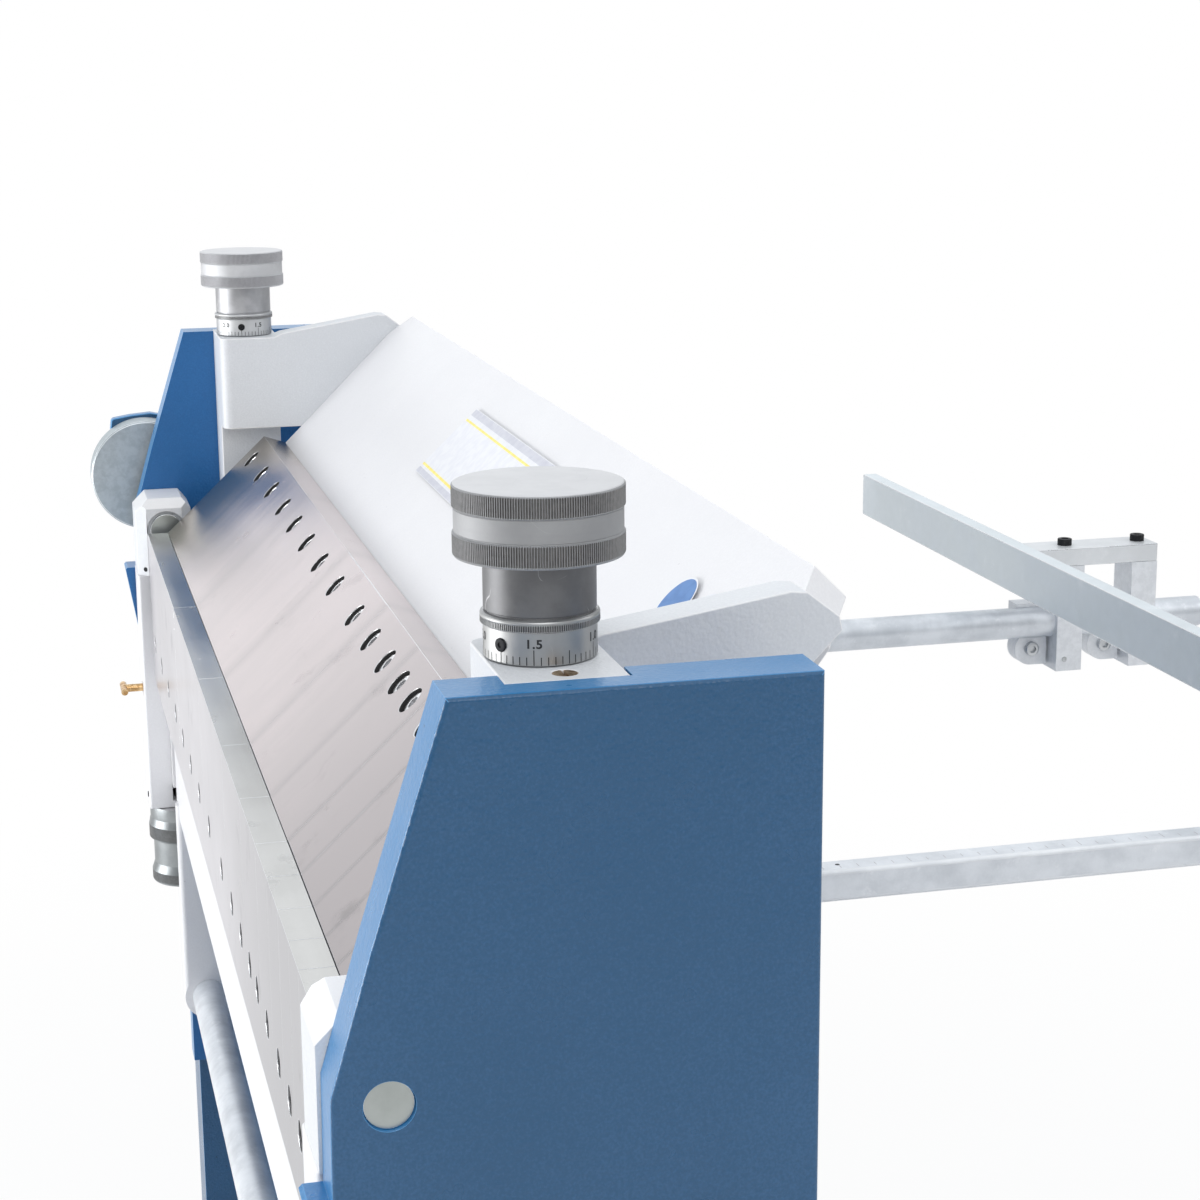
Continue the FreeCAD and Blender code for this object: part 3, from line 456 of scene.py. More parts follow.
FACE_DROP = 0.1583          # how far the sloping face lies behind the corner, along y
CORNER_Y, CORNER_Z = -0.080, 1.0555     # the point that the solids are measured from
FOIL_TOP, FOIL_SLANT = 0.105, 0.15
FOIL_LIFT, PRINT_LIFT = 0.00012, 0.00020


def on_face(x, s, lift):
    """A point on the beam's sloping face, s up the slope, lifted off the paint."""
    y = (s * math.sqrt(2) + FACE_DROP) / 2
    z = (s * math.sqrt(2) - FACE_DROP) / 2
    step = lift / math.sqrt(2)
    return Vector((x, y + CORNER_Y - step, z + CORNER_Z + step))


def foil(name, outline, lift, material):
    """A thin sheet with the outline, given as (x, s) on the sloping face."""
    sheet = bmesh.new()
    low = [sheet.verts.new(on_face(x, s, 0.0)) for x, s in outline]
    top = [sheet.verts.new(on_face(x, s, lift)) for x, s in outline]
    count = len(outline)
    for k in range(count):
        sheet.faces.new((low[k], low[(k + 1) % count], top[(k + 1) % count], top[k]))
    sheet.faces.new(top)
    sheet.faces.new(low[::-1])
    bmesh.ops.recalc_face_normals(sheet, faces=sheet.faces)
    return fitted(name, polished(sheet, name, 60.0), (material,), "clamp", "white_paint")


def print_ink(name, dark, light, roughness):
    """Screen ink on foil: even, with a faint mottle and small pinholes."""
    ink = Finish(name, Specular_IOR_Level=0.45)
    ink.feed("Base Color", ink.tone(ink.eased(ink.grain(160.0, 4.0), 0.35, 0.65), dark, light))
    ink.feed("Roughness", ink.grain(90.0, 2.0) * 0.1 + roughness)
    ink.relief(ink.grain(1500.0, 2.0), 0.04, 0.0002)
    return ink.material


def band(s0, s1, half):
    """A stripe between two heights up the slope, cut at the foil's slanting ends."""
    low, high = (FOIL_TOP - s0) * FOIL_SLANT, (FOIL_TOP - s1) * FOIL_SLANT
    return [(-half - low, s0), (half - low, s0), (half - high, s1), (-half - high, s1)]


foil_white = print_ink("foil_white", (0.70, 0.71, 0.76), (0.75, 0.76, 0.79), 0.30)
foil_grey = print_ink("foil_grey", (0.50, 0.51, 0.58), (0.56, 0.57, 0.63), 0.32)
foil_yellow = print_ink("foil_yellow", (0.86, 0.70, 0.13), (0.92, 0.78, 0.22), 0.32)
foil("stripe_plate", band(0.0485, 0.1055, 0.1135), FOIL_LIFT, foil_white)
for name, s0, s1, ink in (("grey_top", 0.1000, 0.1050, foil_grey),
                          ("grey_low", 0.0490, 0.0530, foil_grey),
                          ("yellow_top", 0.0950, 0.0966, foil_yellow),
                          ("yellow_low", 0.0550, 0.0568, foil_yellow)):
    foil("stripe_" + name, band(s0, s1, 0.1130), PRINT_LIFT, ink)

# Blue discs: two round foils near the beam's right end, with a white rim.
# Only their colour is kept, and nothing is printed on them.

disc_blue = print_ink("foil_blue", (0.050, 0.165, 0.420), (0.075, 0.205, 0.480), 0.34)
DISC_UP = 0.0871
turns = [2 * math.pi * k / 48 for k in range(48)]
for number, x in enumerate((0.4033, 0.4370)):
    for part, radius, lift, ink in (("rim", 0.0146, FOIL_LIFT, foil_white),
                                    ("disc", 0.0137, PRINT_LIFT, disc_blue)):
        outline = [(x + radius * math.cos(t), DISC_UP + radius * math.sin(t)) for t in turns]
        foil("blue_disc_%s_%d" % (part, number), outline, lift, ink)

# Beam ends: iron castings welded to the ends of the beam, each with a tongue that slides in a
# cheek's slot. They are sprayed with the beam, and the casting's skin shows through the paint.

# This darker white also covers the bodies of the pivot blocks, as painted shade.
cast_and_shaded_white = enamel("white_casting_and_painted_shade", (0.68, 0.70, 0.73), (0.74, 0.76, 0.79), (0.58, 0.59, 0.61),
                    roughness=0.44, peel=0.32)
for side in ("left", "right"):
    softened("beam_end_" + side, cast_and_shaded_white, white_edge, 0.0020, "white_paint")

# Fingers: eleven blocks of hardened tool steel of different widths, ground all over, left bare.
# Each is clamped against the beam's foot by socket screws sunk in its sloping face. The seams of
# the real row are finer than the clearance between the solids, so each finger is spread a little.

WIDTHS = (270, 200, 150, 100, 75, 50, 45, 40, 35, 30, 25)
OFFSETS = {270: (30, 100, 170, 240), 200: (35, 100, 165), 150: (35, 115), 100: (25, 75),
           75: (20, 55)}   # of the screws, from a finger's left side; others have one in the middle
ROW_HALF = sum(WIDTHS) / 2000.0
SPREAD = 0.0001             # on each side of a finger
SEAM_REACH = 0.0005
BORE_FACE = 0.00004         # square metres, more than any face in a screw hole

# The pink of this steel is a painted reflection of the room. The row is also painted darker towards
# the right, at its left end and near each finger's sides.
finger_steel = ground("finger_steel", (0.62, 0.545, 0.54), (0.70, 0.615, 0.61),
                      (0.36, 0.33, 0.33), roughness=0.14, lines=(1.0, 0.05, 1.0),
                      turn=(math.radians(-45.0), 0.0, 0.0), ends=0.20, handled=0.75)
finger_edge = ground("finger_steel_edge", (0.62, 0.61, 0.62), (0.74, 0.74, 0.75),
                     (0.56, 0.56, 0.56), roughness=0.18, lines=(1.0, 0.05, 1.0))
# Dark finish on the walls of the fingers' screw holes: painted shade inside the holes.
bore_shade = Finish("bore_painted_shade")
bore_shade.feed("Base Color", bore_shade.tone(bore_shade.grain(300.0, 3.0), (0.006, 0.006, 0.007),
                                    (0.024, 0.023, 0.022)))
bore_shade.feed("Roughness", bore_shade.grain(500.0, 2.0) * 0.2 + 0.50)
bore_shade = bore_shade.material


def bore_wall(face):
    """The narrow faces inside the screw holes."""
    return face.calc_area() < BORE_FACE and abs(face.normal.z - face.normal.y) < 0.05


screw_places = []
left = -ROW_HALF
for width in WIDTHS:
    right = left + width / 1000.0
    screw_places += [left + offset / 1000.0 for offset in OFFSETS.get(width, (width / 2.0,))]

    def seam(edge):
        """Edges along the joints between fingers are hardly broken at all."""
        ends = [vert.co.x for vert in edge.verts]
        off = min(max(abs(x - side) for x in ends) for side in (left, right))
        return 0.04 if off < SEAM_REACH else 1.0

    finger = softened("finger_%d" % width, finger_steel, finger_edge, 0.0005, "tool_steel",
                      ease=seam, others=((bore_wall, bore_shade),))
    middle = (left + right) / 2.0
    for vert in finger.data.vertices:
        vert.co.x += SPREAD * (vert.co.x - middle) / (right - middle)
    left = right

# Finger screws: bright socket head screws with rounded rims, sunk just below the fingers' faces.
# One to four in each finger, by its width.

bright = Finish("bright_screw", Metallic=1.0)
cloudy = bright.eased(bright.grain(150.0, 4.0), 0.35, 0.65)
bright.feed("Base Color", bright.tone(cloudy, (0.74, 0.74, 0.75), (0.88, 0.88, 0.89)))
bright.feed("Roughness", bright.grain(240.0, 3.0) * 0.16 + 0.14)
bright.relief(bright.grain(1400.0, 2.0), 0.06, 0.0002)
bright = bright.material
sunk = 0.0010 / math.sqrt(2)
sites = [(x, -0.0375 + sunk, 0.9625 - sunk) for x in screw_places]
socket_screws("finger_screw_heads", sites, OFF_SLOPE, Head(0.0072, 0.0070, 0.0066, 0.0014), bright,
              "clamp", "black_oxide", "finger_screws")

# Draw rods: the pulling rods that run down inside the tongues to the cranks on the pedal's shaft.
# Drawn steel, zinc plated, threaded at the top, with a flat eye at the bottom.

softened("draw_rods", zinc, zinc_edge, 0.0006, "zinc_steel")

# Top knobs: turned and satin chromed, with two straight knurled bands and a turned steel neck.
# Turning one sets how hard that end of the beam clamps; each is screwed on its draw rod.
# The left one takes lighter copies of the same metals, painted light.


def turned(name, dark, light, scratch, roughness, gouges):
    """Metal off a lathe: fine rings of tool marks and a few scratches from use."""
    metal = Finish(name, Metallic=1.0)
    spot = metal.node("ShaderNodeTexCoord", out="Object")
    flat = metal.node("ShaderNodeMapping", None, {"Vector": spot, "Scale": (1.0, 1.0, 0.0)})
    reach = metal.node("ShaderNodeVectorMath", {"operation": "LENGTH"}, {0: flat}, out="Value")
    height = metal.node("ShaderNodeSeparateXYZ", None, {"Vector": spot}, out="Z")
    rings = metal.node("ShaderNodeCombineXYZ", None, {"X": reach, "Y": height})
    marks = metal.node("ShaderNodeTexNoise", None, {"Vector": rings, "Scale": 1700.0,
                                                    "Detail": 3.0})
    wander = metal.node("ShaderNodeTexWave", {"bands_direction": "DIAGONAL"}, {
        "Vector": spot, "Scale": 22.0, "Distortion": 26.0, "Detail": 2.0, "Detail Scale": 0.8})
    rare = metal.eased(wander, 0.9982, 0.9996)
    lines = rare * metal.eased(metal.grain(70.0, 2.0), 0.50, 0.62) * gouges
    cloud = metal.eased(metal.grain(45.0, 5.0, 0.62), 0.34, 0.66)
    bare = metal.tone(cloud * 0.75 + marks * 0.25, dark, light)
    metal.feed("Base Color", metal.tint(lines, bare, scratch))
    metal.feed("Roughness", marks * 0.10 + cloud * 0.08 + lines * 0.1 + roughness)
    metal.relief(marks + lines * -1.5, 0.10, 0.0002)
    return metal.material


def looks_up(face):
    """The flat tops."""
    return face.normal.z > 0.9


def lathe(name, profile, ribs, spot, material, body, slot, *replaced, grooves=None):
    """A turned piece about a vertical axis at spot; the profile has radius, height and depth of
    knurling, in millimetres. The grooves of the knurling take a dark finish, painted shade, and
    what looks up is faced."""
    sides = ribs * 4
    cut = (0.0, 0.0, 1.0, 1.0)
    sheet = bmesh.new()
    loops = []
    for radius, height, deep in profile:
        loop = []
        for k in range(sides):
            r = (radius - deep * cut[k % 4]) / 1000.0
            turn = 2 * math.pi * k / sides
            loop.append(sheet.verts.new((r * math.cos(turn), r * math.sin(turn), height / 1000.0)))
        loops.append(loop)
    for low, high, first, second in zip(loops, loops[1:], profile, profile[1:]):
        grooved = first[2] > 0.2 and second[2] > 0.2
        for k in range(sides):
            face = sheet.faces.new((low[k], low[(k + 1) % sides], high[(k + 1) % sides], high[k]))
            face.material_index = 1 if grooved and k % 4 else 0
    sheet.faces.new(loops[0][::-1])
    sheet.faces.new(loops[-1])
    sheet.normal_update()
    for face in sheet.faces:
        if looks_up(face):
            face.material_index = 2
    finishes = (material, grooves or groove, faced)
    return fitted(name, polished(sheet, name, 12.0), finishes, body, slot, *replaced, spot=spot)


def groove_shade(name, dark, light):
    """The bottom of a groove: the same metal painted dark, painted shade."""
    low = Finish(name, Metallic=1.0)
    low.feed("Base Color", low.tone(low.grain(500.0, 3.0), dark, light))
    low.feed("Roughness", low.grain(700.0, 2.0) * 0.2 + 0.35)
    return low.material


def shaded(colour, share):
    return tuple(part * share for part in colour)


groove = groove_shade("knurl_groove", (0.14, 0.14, 0.145), (0.32, 0.315, 0.31))
lit_copy_groove = groove_shade("knurl_groove_lit_copy", (0.42, 0.42, 0.44), (0.56, 0.56, 0.58))
faced = turned("faced_end", (0.60, 0.60, 0.61), (0.70, 0.70, 0.71), (0.50, 0.50, 0.51),
               roughness=0.36, gouges=0.3)
SPINDLE_X, SPINDLE_Y = 0.544, -0.0329
HEAD_RIBS, NECK_SIDES = 206, 40
HEAD = [(21.9, 39.6, 0), (32.0, 39.6, 0), (32.6, 39.8, 0), (33.0, 40.4, 0.05), (33.1, 40.7, 0.45),
        (33.1, 48.3, 0.45), (33.0, 48.6, 0.05), (32.4, 48.9, 0), (32.3, 49.1, 0), (32.5, 49.5, 0),
        (32.5, 57.8, 0), (32.3, 58.1, 0), (32.4, 58.3, 0), (33.0, 58.7, 0.05), (33.1, 59.0, 0.45),
        (33.1, 66.4, 0.45), (33.0, 66.8, 0.05), (32.6, 67.15, 0), (32.1, 67.35, 0),
        (31.4, 67.4, 0), (16.0, 67.4, 0), (0.6, 67.4, 0)]
NECK = [(11.0, -60.0, 0), (11.0, 18.2, 0), (21.0, 18.2, 0), (21.0, 19.0, 0), (21.6, 19.0, 0),
        (21.8, 19.3, 0), (21.8, 39.2, 0), (21.6, 39.5, 0), (21.6, 39.7, 0)]
# The left knob takes lighter copies of the same metals: painted light.
for side, sign, lit_share in (("left", -1, 1.6), ("right", 1, 1.0)):
    chrome = turned("satin_chrome_" + side, shaded((0.37, 0.375, 0.385), lit_share),
                    shaded((0.45, 0.455, 0.465), lit_share), (0.66, 0.66, 0.67),
                    roughness=0.58, gouges=0.25)
    neck_steel = turned("neck_steel_" + side, shaded((0.15, 0.152, 0.158), lit_share ** 2),
                        shaded((0.22, 0.222, 0.228), lit_share ** 2), (0.60, 0.60, 0.61),
                        roughness=0.40, gouges=0.9)
    spot = (sign * SPINDLE_X, SPINDLE_Y, CORNER_Z)
    lathe("knob_head_" + side, HEAD, HEAD_RIBS, spot, chrome, "knob_" + side, "bright_knob",
          "top_knob_" + side, grooves=lit_copy_groove if lit_share > 1.0 else groove)
    lathe("knob_neck_" + side, NECK, NECK_SIDES, spot, neck_steel, "knob_" + side, "bright_knob")

# Scale collars: turned rings under the knobs with a knurled rim and a dial of fifty divisions.
# The lines and figures are engraved and filled with black; a black grub screw locks each ring.

COLLAR = [(11.2, 0.5, 0), (21.5, 0.5, 0), (21.9, 0.7, 0), (22.0, 1.1, 0), (22.0, 13.2, 0),
          (22.2, 13.45, 0), (22.9, 13.7, 0.05), (23.1, 13.9, 0.38), (23.1, 16.1, 0.38),
          (23.0, 16.4, 0.05), (23.1, 16.6, 0), (23.1, 17.2, 0), (22.9, 17.7, 0), (22.2, 18.2, 0),
          (21.2, 18.2, 0), (11.2, 18.2, 0)]
COLLAR_RIBS = 160
DIAL_RADIUS = 22.04         # the dial's sizes are in millimetres
LINE_FOOT, LINE_HALF = 0.9, 0.20
TENTH, FIFTH, SINGLE = 6.0, 5.2, 3.2
FIGURE_TALL, FIGURE_WIDE, FIGURE_FOOT = 3.2, 1.08, 7.6
# The left ring takes a lighter copy of the metal: painted light.
collar_steel = {
    "left": turned("collar_pale", (0.54, 0.55, 0.56), (0.64, 0.65, 0.66), (0.72, 0.72, 0.73),
                   roughness=0.40, gouges=0.2),
    "right": turned("collar_satin", (0.38, 0.385, 0.385), (0.46, 0.465, 0.465), (0.62, 0.62, 0.62),
                    roughness=0.34, gouges=0.2)}
fill = Finish("dial_black", Roughness=0.6)
fill.feed("Base Color", fill.tone(fill.grain(900.0, 2.0), (0.012, 0.012, 0.013),
                                  (0.035, 0.035, 0.037)))
fill = fill.material


def rolled(sheet, turn, flat_points):
    """Points of a flat drawing (along, up) laid round the dial from that turn."""
    made = []
    for along, up in flat_points:
        angle = turn + along / DIAL_RADIUS
        made.append(sheet.verts.new((DIAL_RADIUS * math.cos(angle) / 1000.0,
                                     DIAL_RADIUS * math.sin(angle) / 1000.0, up / 1000.0)))
    return made


def figures(text, tall):
    """The outline of a plain printed number as a flat mesh, its middle at x = 0."""
    line = bpy.data.curves.new("figures", "FONT")
    line.body = text
    line.align_x = "CENTER"
    line.size = tall / 0.68
    line.offset = tall * 0.045
    line.space_character = 1.10
    line.resolution_u = 5
    holder = bpy.data.objects.new("figures", line)
    bpy.context.scene.collection.objects.link(holder)
    bpy.context.view_layer.update()
    drawn = holder.evaluated_get(bpy.context.evaluated_depsgraph_get())
    flat = bpy.data.meshes.new_from_object(drawn)
    bpy.data.objects.remove(holder)
    return flat


def dial(name, start, spot, body):
    """Fifty lines, every fifth longer, and a figure at every tenth; start is where 1.5 stands."""
    sheet = bmesh.new()
    for k in range(50):
        top = LINE_FOOT + (TENTH if k % 10 == 0 else FIFTH if k % 5 == 0 else SINGLE)
        line = [(-LINE_HALF, LINE_FOOT), (LINE_HALF, LINE_FOOT), (LINE_HALF, top),
                (-LINE_HALF, top)]
        sheet.faces.new(rolled(sheet, start - k * math.radians(7.2), line))
    for k, text in enumerate(("1.5", "2.0", "0", "0.5", "1.0")):
        flat = figures(text, FIGURE_TALL)
        outline = [(vert.co.x * FIGURE_WIDE, vert.co.y + FIGURE_FOOT) for vert in flat.vertices]
        points = rolled(sheet, start - k * math.radians(72.0), outline)
        for face in flat.polygons:
            sheet.faces.new([points[corner] for corner in face.vertices])
        bpy.data.meshes.remove(flat)
    return fitted(name, polished(sheet, name, 60.0), (fill,), body, "black_oxide", spot=spot)


SCREW_TURN, SCREW_REACH, SCREW_UP = 36.2, 0.0226, 0.0078
for side, sign, start in (("left", -1, 25.0), ("right", 1, -19.1)):
    spot = (sign * SPINDLE_X, SPINDLE_Y, CORNER_Z)
    lathe("dial_ring_" + side, COLLAR, COLLAR_RIBS, spot, collar_steel[side], "knob_" + side,
          "bright_knob", "scale_collar_" + side)
    dial("dial_marks_" + side, math.radians(start), spot, "knob_" + side)
    turn = math.radians(start - SCREW_TURN)
    axis = Vector((math.cos(turn), math.sin(turn), 0))
    place = Vector(spot) + axis * SCREW_REACH + Vector((0, 0, SCREW_UP))
    socket_screws("dial_screw_" + side, [place], axis, Head(0.0027, 0.0008, 0.0019, 0.0004), black,
                  "knob_" + side, "black_oxide")

# Plug screws: slotted brass plugs in the beam ends that close the oil holes.
# Turned brass, gone brown, with bright scrapes by the slot.

brass = Finish("old_brass", Metallic=1.0)
tarnish = brass.eased(brass.grain(240.0, 5.0, 0.62), 0.38, 0.64)
brass.feed("Base Color", brass.tone(tarnish, (0.20, 0.125, 0.07), (0.56, 0.40, 0.24)))
brass.feed("Roughness", tarnish * -0.15 + 0.46)
brass.relief(brass.grain(1300.0, 3.0), 0.14, 0.0003)
brass = brass.material
softened("plug_screws", brass, brass, 0.0003, "brass")

# Pedal shaft and cranks: a drawn shaft across the machine with a crank for each draw rod.
# The cranks are flame cut and keyed to the shaft; all of it is zinc plated.

softened("pedal_shaft", zinc, zinc_edge, 0.0010, "zinc_steel")
for side in ("left", "right"):
    softened("crank_" + side, zinc, zinc_edge, 0.0008, "zinc_steel")

# Shaft bearings: cast iron flange bearings, bolted to the insides of the cheeks.
# The castings are primed grey and never painted.


def casting(name, dark, light, rub):
    """Bare primed iron: the sandy skin of the mould, with rubbed high spots."""
    iron = Finish(name)
    patch = iron.eased(iron.grain(24.0, 5.0, 0.6), 0.35, 0.65)
    rubbed = iron.eased(iron.grain(95.0, 5.0, 0.7), 0.58, 0.72)
    iron.feed("Base Color", iron.tint(rubbed * 0.5, iron.tone(patch, dark, light), rub))
    iron.feed("Roughness", patch * 0.12 + 0.56)
    iron.relief(iron.grain(420.0, 4.0, 0.65) + iron.grain(150.0, 2.0), 0.35, 0.0008)
    return iron.material


iron = casting("primed_iron", (0.075, 0.080, 0.085), (0.120, 0.125, 0.130), (0.21, 0.21, 0.215))
iron_edge = casting("primed_iron_edge", (0.13, 0.135, 0.14), (0.19, 0.195, 0.20),
                    (0.30, 0.30, 0.30))
softened("shaft_bearings", iron, iron_edge, 0.0009, "grey_cast")

# Pedal: a long folded tread on two levers, welded and painted blue.
# It is clamped on the shaft, and a ribbed rubber pad is glued on top.

softened("pedal_frame", blue, blue_worn_and_lit_edge, 0.0012, "blue_paint")
rubber = Finish("tread_rubber")
dusty = rubber.eased(rubber.grain(70.0, 5.0, 0.65), 0.42, 0.70)
rubber.feed("Base Color", rubber.tone(dusty, (0.012, 0.012, 0.013), (0.055, 0.054, 0.052)))
rubber.feed("Roughness", dusty * 0.15 + 0.70)
rubber.relief(rubber.grain(800.0, 3.0), 0.25, 0.0005)
rubber = rubber.material
softened("tread_pad", rubber, rubber, 0.0006, "rubber")

# Counterweight: a round bar between two levers behind the shaft that lifts the clamping beam.
# Cast iron, primed grey.

softened("counterweight", iron, iron_edge, 0.0016, "grey_cast")

# Pivot blocks: steel blocks with hipped tops at the upper ends of the bending arms, sprayed white.
# Each turns on the pin that is pressed in its cheek; a small grub screw locks it to the arm.


def on_hip(face):
    """The hipped top of a pivot block."""
    return face.normal.z > 0.3


# Lighter white on the hipped tops, painted light, over the darker casting white on the bodies,
# painted shade.
lit_top_white = enamel("white_enamel_painted_lit_top", (0.84, 0.84, 0.85), (0.88, 0.88, 0.89), (0.70, 0.70, 0.71),
                   roughness=0.34, peel=0.08)
BLOCK_X, BLOCK_Y, BLOCK_Z = 0.5234, -0.1228, 0.8689
for side, sign in (("left", -1), ("right", 1)):
    softened("pivot_block_" + side, cast_and_shaded_white, white_edge, 0.0075, "white_paint",
             others=((on_hip, lit_top_white),))
    axis = Vector((-sign, -1, 0)).normalized()
    foot = Vector((sign * BLOCK_X, BLOCK_Y, BLOCK_Z))
    socket_screws("block_screw_" + side, [foot + axis * 0.0004], axis,
                  Head(0.0019, 0.0007, 0.0016, 0.0003), black, "arms", "black_oxide")

# Pivot pins: hardened pins with flat heads; the left one reaches out through the cheek to the stop
# disc. Ground and left bare.

pin_steel = ground("pin_steel", (0.36, 0.39, 0.38), (0.46, 0.49, 0.48), (0.28, 0.30, 0.29),
                   roughness=0.26, lines=(1.0, 1.0, 1.0))
softened("pivot_pins", pin_steel, blade_edge, 0.0005, "tool_steel")

# Stop disc: a thick turned disc on the left pin that sets how far the beam bends, with its blue
# catch plate. The disc is cast aluminium, faced on the lathe and tumbled dull; the plate behind it
# is painted.

dull = Finish("dull_aluminium", Metallic=0.55)
mottle = dull.eased(dull.grain(120.0, 6.0, 0.7), 0.36, 0.64)
dull.feed("Base Color", dull.tone(mottle, (0.40, 0.445, 0.47), (0.50, 0.55, 0.575)))
dull.feed("Roughness", mottle * 0.10 + 0.46)
dull.relief(dull.grain(500.0, 4.0, 0.6), 0.20, 0.0004)
# The broken rim of the disc takes a much lighter finish: painted highlight.
disc_rim_highlight = plated("aluminium_rim_painted_highlight", (0.74, 0.76, 0.78), (0.84, 0.86, 0.88),
                   (0.88, 0.89, 0.90), roughness=0.26, cloud=40.0)
softened("stop_disc", dull.material, disc_rim_highlight, 0.0014, "tool_steel")
# The catch plate's narrow faces take the lighter copy of the blue: painted light.
softened("disc_arm", blue, blue_worn_and_lit_edge, 0.0012, "blue_paint", others=((on_rim, blue_lit_rim),))

# Arm housings: square steel posts under the pivot blocks, slotted for the bending beam's tongues.
# Sprayed white; a small black screw closes the foot of each on its front face.

ARM_X = 0.540
for side, sign in (("left", -1), ("right", 1)):
    softened("arm_housing_" + side, white, white_edge, 0.0010, "white_paint")
    socket_screws("arm_screw_" + side, [(sign * ARM_X, -0.1297, 0.6730)], FRONT,
                  Head(0.0024, 0.0010, 0.0018, 0.0004), black, "arms", "black_oxide")

# Lower knobs: turned steel knobs with two knurled bands, on the screws that carry the bending
# beam. They set the beam for the thickness of the sheet.

LOWER = [(0.6, -67.3, 0), (27.3, -67.3, 0), (28.0, -66.8, 0), (28.7, -65.8, 0.05),
         (28.9, -65.2, 0.45), (28.9, -57.8, 0.45), (28.9, -57.2, 0.05), (28.7, -56.6, 0),
         (26.9, -51.4, 0), (26.6, -50.6, 0), (26.6, -30.6, 0), (26.8, -30.0, 0),
         (29.7, -28.5, 0.05), (29.9, -28.0, 0.45), (29.9, -17.6, 0.45), (29.9, -17.2, 0.05),
         (29.6, -16.4, 0), (28.9, -12.6, 0), (28.4, -11.0, 0), (28.4, -3.4, 0), (28.0, -0.5, 0),
         (8.0, -0.5, 0), (8.0, 162.5, 0)]
LOWER_RIBS = 188
lower_steel = turned("lower_knob_steel", (0.27, 0.29, 0.30), (0.35, 0.37, 0.38),
                     (0.60, 0.62, 0.63), roughness=0.30, gouges=0.3)
for side, sign in (("left", -1), ("right", 1)):
    lathe("lower_knob_body_" + side, LOWER, LOWER_RIBS, (sign * ARM_X, -0.100, 0.665), lower_steel,
          "low_" + side, "tool_steel", "lower_knob_" + side)

# Lock screws: turned brass screws with a cross bar, in the front of the arms.
# They pinch the bending beam's tongues once its height is set.

gold = Finish("lock_brass", Metallic=1.0)
dim = gold.eased(gold.grain(200.0, 4.0, 0.6), 0.40, 0.66)
gold.feed("Base Color", gold.tone(dim, (0.52, 0.30, 0.12), (0.80, 0.56, 0.30)))
gold.feed("Roughness", dim * -0.10 + 0.34)
gold.relief(gold.grain(1200.0, 3.0), 0.12, 0.0003)
gold = gold.material
for side in ("left", "right"):
    softened("lock_screw_" + side, gold, gold, 0.0004, "brass")

# Bending beam: a deep steel beam with pockets in its back and a bracket under each end.
# Milled, then sprayed white except for the seat of the blade.

softened("bending_beam", white, white_edge, 0.0014, "white_paint")

# Blade segments: hardened bars along the top of the bending beam, one in front of each finger.
# Ground bright; their broken edges catch the light, and their tops take a darker copy of the
# steel, a painted dark reflection.

seams = [sum(WIDTHS[:k]) / 1000.0 - ROW_HALF for k in range(1, len(WIDTHS))]


def blade_seam(edge):
    """Edges along the joints between segments are broken less than the others."""
    return 0.3 if min(abs(edge.verts[0].co.x - x) for x in seams) < SEAM_REACH else 1.0


blade_top = ground("blade_top", (0.47, 0.465, 0.45), (0.57, 0.565, 0.55), (0.26, 0.265, 0.265),
                   roughness=0.15, lines=(0.06, 1.0, 1.0))
softened("blade_segments", blade_steel, blade_edge, 0.0004, "tool_steel", ease=blade_seam,
         others=((looks_up, blade_top),))

# Blade screws: blackened socket head screws that hold the segments to the beam.
# One to four in each segment, in line with the finger screws.

socket_screws("blade_screw_heads", [(x, -0.1199, 0.8162) for x in screw_places], FRONT,
              Head(0.0066, 0.0074, 0.0060, 0.0008), black, "bending", "black_oxide",
              "blade_screws")

# Handle bar: a straight galvanised tube held in the brackets under the bending beam.
# The operator lifts it to swing the beam.

softened("handle_bar", galvanised, zinc_edge, 0.0008, "zinc_steel")

# Back gauge: a flat stop bar on two arms, each on two split clamps that slide on a gauge rod.
# The bar and the arms are galvanised flat steel; the clamps are sprayed silver.

stop_zinc = plated("galvanised_bar", (0.65, 0.71, 0.74), (0.79, 0.845, 0.88), (0.85, 0.89, 0.92),
                   roughness=0.30, cloud=14.0, metallic=0.5)
softened("stop_bar", stop_zinc, zinc_edge, 0.0008, "zinc_steel")
pale_zinc = plated("bright_zinc", (0.66, 0.68, 0.70), (0.78, 0.80, 0.82), (0.84, 0.85, 0.87),
                   roughness=0.34, cloud=20.0, metallic=0.4)
softened("gauge_arms", pale_zinc, zinc_edge, 0.0008, "zinc_steel")
silver = Finish("silver_lacquer", Metallic=0.25, Specular_IOR_Level=0.5)
flake = silver.eased(silver.grain(140.0, 5.0, 0.65), 0.36, 0.66)
silver.feed("Base Color", silver.tone(flake, (0.70, 0.72, 0.75), (0.80, 0.82, 0.85)))
silver.feed("Roughness", flake * 0.12 + 0.34)
silver.relief(silver.grain(600.0, 3.0), 0.12, 0.0004)
softened("gauge_carriages", silver.material, zinc_edge, 0.0007, "zinc_steel")

# Gauge screws: black socket screws bolt the arms to the clamps. The clamps' pinch screws and the
# small grub screw in the side of each clamp are zinc plated.

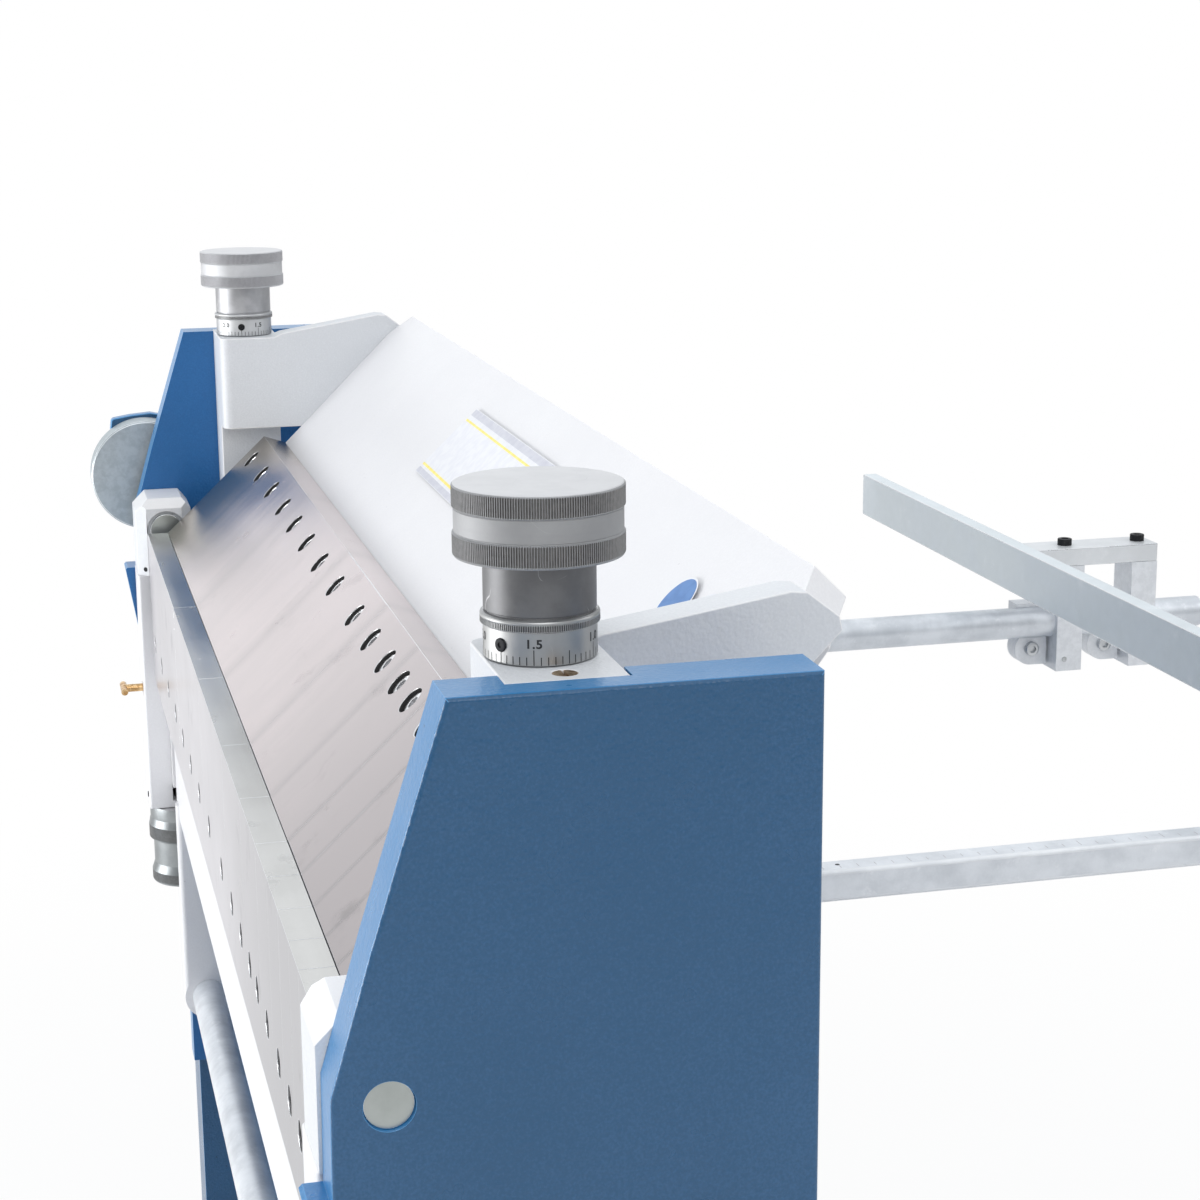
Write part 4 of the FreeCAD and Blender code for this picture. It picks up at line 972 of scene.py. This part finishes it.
CLAMP_STEP = 0.0611
clamps = [(x, row) for x in (-RAIL_X, RAIL_X) for row in (0.0, CLAMP_STEP)]
bolt_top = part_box("arm_bolts")[1].z
socket_screws("arm_bolt_heads", [(x, 0.56335 + row, bolt_top) for x, row in clamps], UP,
              Head(0.0055, 0.0050, 0.0050, 0.0006), black, "gauge", "black_oxide", "arm_bolts")
socket_screws("pinch_screws", [(x + 0.004, 0.538 + row, 0.8215) for x, row in clamps], RIGHT,
              Head(0.0055, 0.0040, 0.0050, 0.0010), zinc, "gauge", "black_oxide", "clamp_screws")
socket_screws("clamp_grub_screws", [(x + 0.0154, 0.5597 + row, 0.8148) for x, row in clamps], RIGHT,
              Head(0.0022, 0.0007, 0.0018, 0.0003), zinc, "gauge", "black_oxide")

# Room: a pale studio floor and a white surround, light from the left and above, and the camera.
# The surround is white where it is looked at; its light is weaker on the side the camera stands on.

REACH = 12                  # half the floor's side
WHITE = (1.0, 1.0, 1.0, 1.0)
floor_mesh = bpy.data.meshes.new("floor")
floor_mesh.from_pydata([(-REACH, -REACH, 0), (REACH, -REACH, 0), (REACH, REACH, 0),
                        (-REACH, REACH, 0)], [], [(0, 1, 2, 3)])
floor_paint = Finish("floor_paint", Roughness=0.9)
floor_paint.feed("Base Color", floor_paint.tone(floor_paint.grain(3.0, 4.0), (0.78, 0.78, 0.78),
                                                (0.81, 0.81, 0.81)))
rays = floor_paint.node("ShaderNodeLightPath", out="Is Camera Ray")
bounced = floor_paint.node("ShaderNodeLightPath", out="Is Glossy Ray")
passed = floor_paint.node("ShaderNodeLightPath", out="Is Transmission Ray")
seen = rays.math("MAXIMUM", rays.math("MAXIMUM", rays, bounced), passed)
away = floor_paint.node("ShaderNodeVectorMath", {"operation": "LENGTH"},
                        {0: floor_paint.node("ShaderNodeTexCoord", out="Object")}, out="Value")
seen = seen * floor_paint.eased(away, 0.9, 2.6, 0.80, 1.0)
glow = floor_paint.node("ShaderNodeEmission", None, {"Color": WHITE, "Strength": 1.0})
blend = floor_paint.node("ShaderNodeMixShader", None, {0: seen})
floor_paint.tree.links.new(floor_paint.shader.outputs[0], blend.socket.node.inputs[1])
floor_paint.tree.links.new(glow.socket, blend.socket.node.inputs[2])
floor_out = floor_paint.tree.nodes["Material Output"]
floor_paint.tree.links.new(blend.socket, floor_out.inputs["Surface"])
floor_mesh.materials.append(floor_paint.material)
floor = bpy.data.objects.new("floor", floor_mesh)
bpy.context.scene.collection.objects.link(floor)

world = bpy.data.worlds.new("room")
bpy.context.scene.world = world
world.use_nodes = True
room = Wiring(world.node_tree)
way = room.node("ShaderNodeTexCoord", out="Generated")
along = room.node("ShaderNodeSeparateXYZ", None, {"Vector": way}, out="X")
upward = room.node("ShaderNodeSeparateXYZ", None, {"Vector": way}, out="Z")
level = room.eased(upward, 0.0, 1.0, 0.16, 1.20) + room.eased(along, -0.70, -0.97, 0.0, 0.95)
dim_light = room.node("ShaderNodeBackground", None, {"Color": (0.95, 0.975, 1.0, 1.0),
                                                     "Strength": level})
white_light = room.node("ShaderNodeBackground", None, {"Color": WHITE, "Strength": 1.0})
looked_at = room.node("ShaderNodeLightPath", out="Is Camera Ray")
both = room.node("ShaderNodeMixShader", None, {0: looked_at, 1: dim_light, 2: white_light})
room.tree.links.new(both.socket, room.tree.nodes["World Output"].inputs["Surface"])


def lamp(name, spot, target, size, power):
    light = bpy.data.lights.new(name, "AREA")
    light.shape = "RECTANGLE"
    light.size, light.size_y = size
    light.energy = power
    made = bpy.data.objects.new(name, light)
    made.location = spot
    made.rotation_euler = (Vector(target) - Vector(spot)).to_track_quat("-Z", "Y").to_euler()
    bpy.context.scene.collection.objects.link(made)


lamp("left_light", (-0.6, -3.0, 0.9), (0.0, 0.0, 0.7), (2.0, 1.4), 58)
lamp("right_light", (2.6, -0.3, 2.6), (0.0, 0.0, 0.9), (1.6, 1.6), 22)
lamp("rear_light", (0.5, 2.2, 1.9), (-0.2, 0.5, 0.85), (1.4, 1.2), 9)

eye = bpy.data.cameras.new("photo_camera")
eye.sensor_width = 36.0
eye.lens = 71.64
eye.clip_start = 0.05
eye.clip_end = 60.0
camera = bpy.data.objects.new("photo_camera", eye)
camera.location = (1.41066, -0.22666, 1.28334)
camera.rotation_euler = Euler([math.radians(angle) for angle in (76.88284, 0.44451, 75.81124)])
bpy.context.scene.collection.objects.link(camera)
bpy.context.scene.camera = camera
bpy.context.scene.view_settings.view_transform = "Standard"
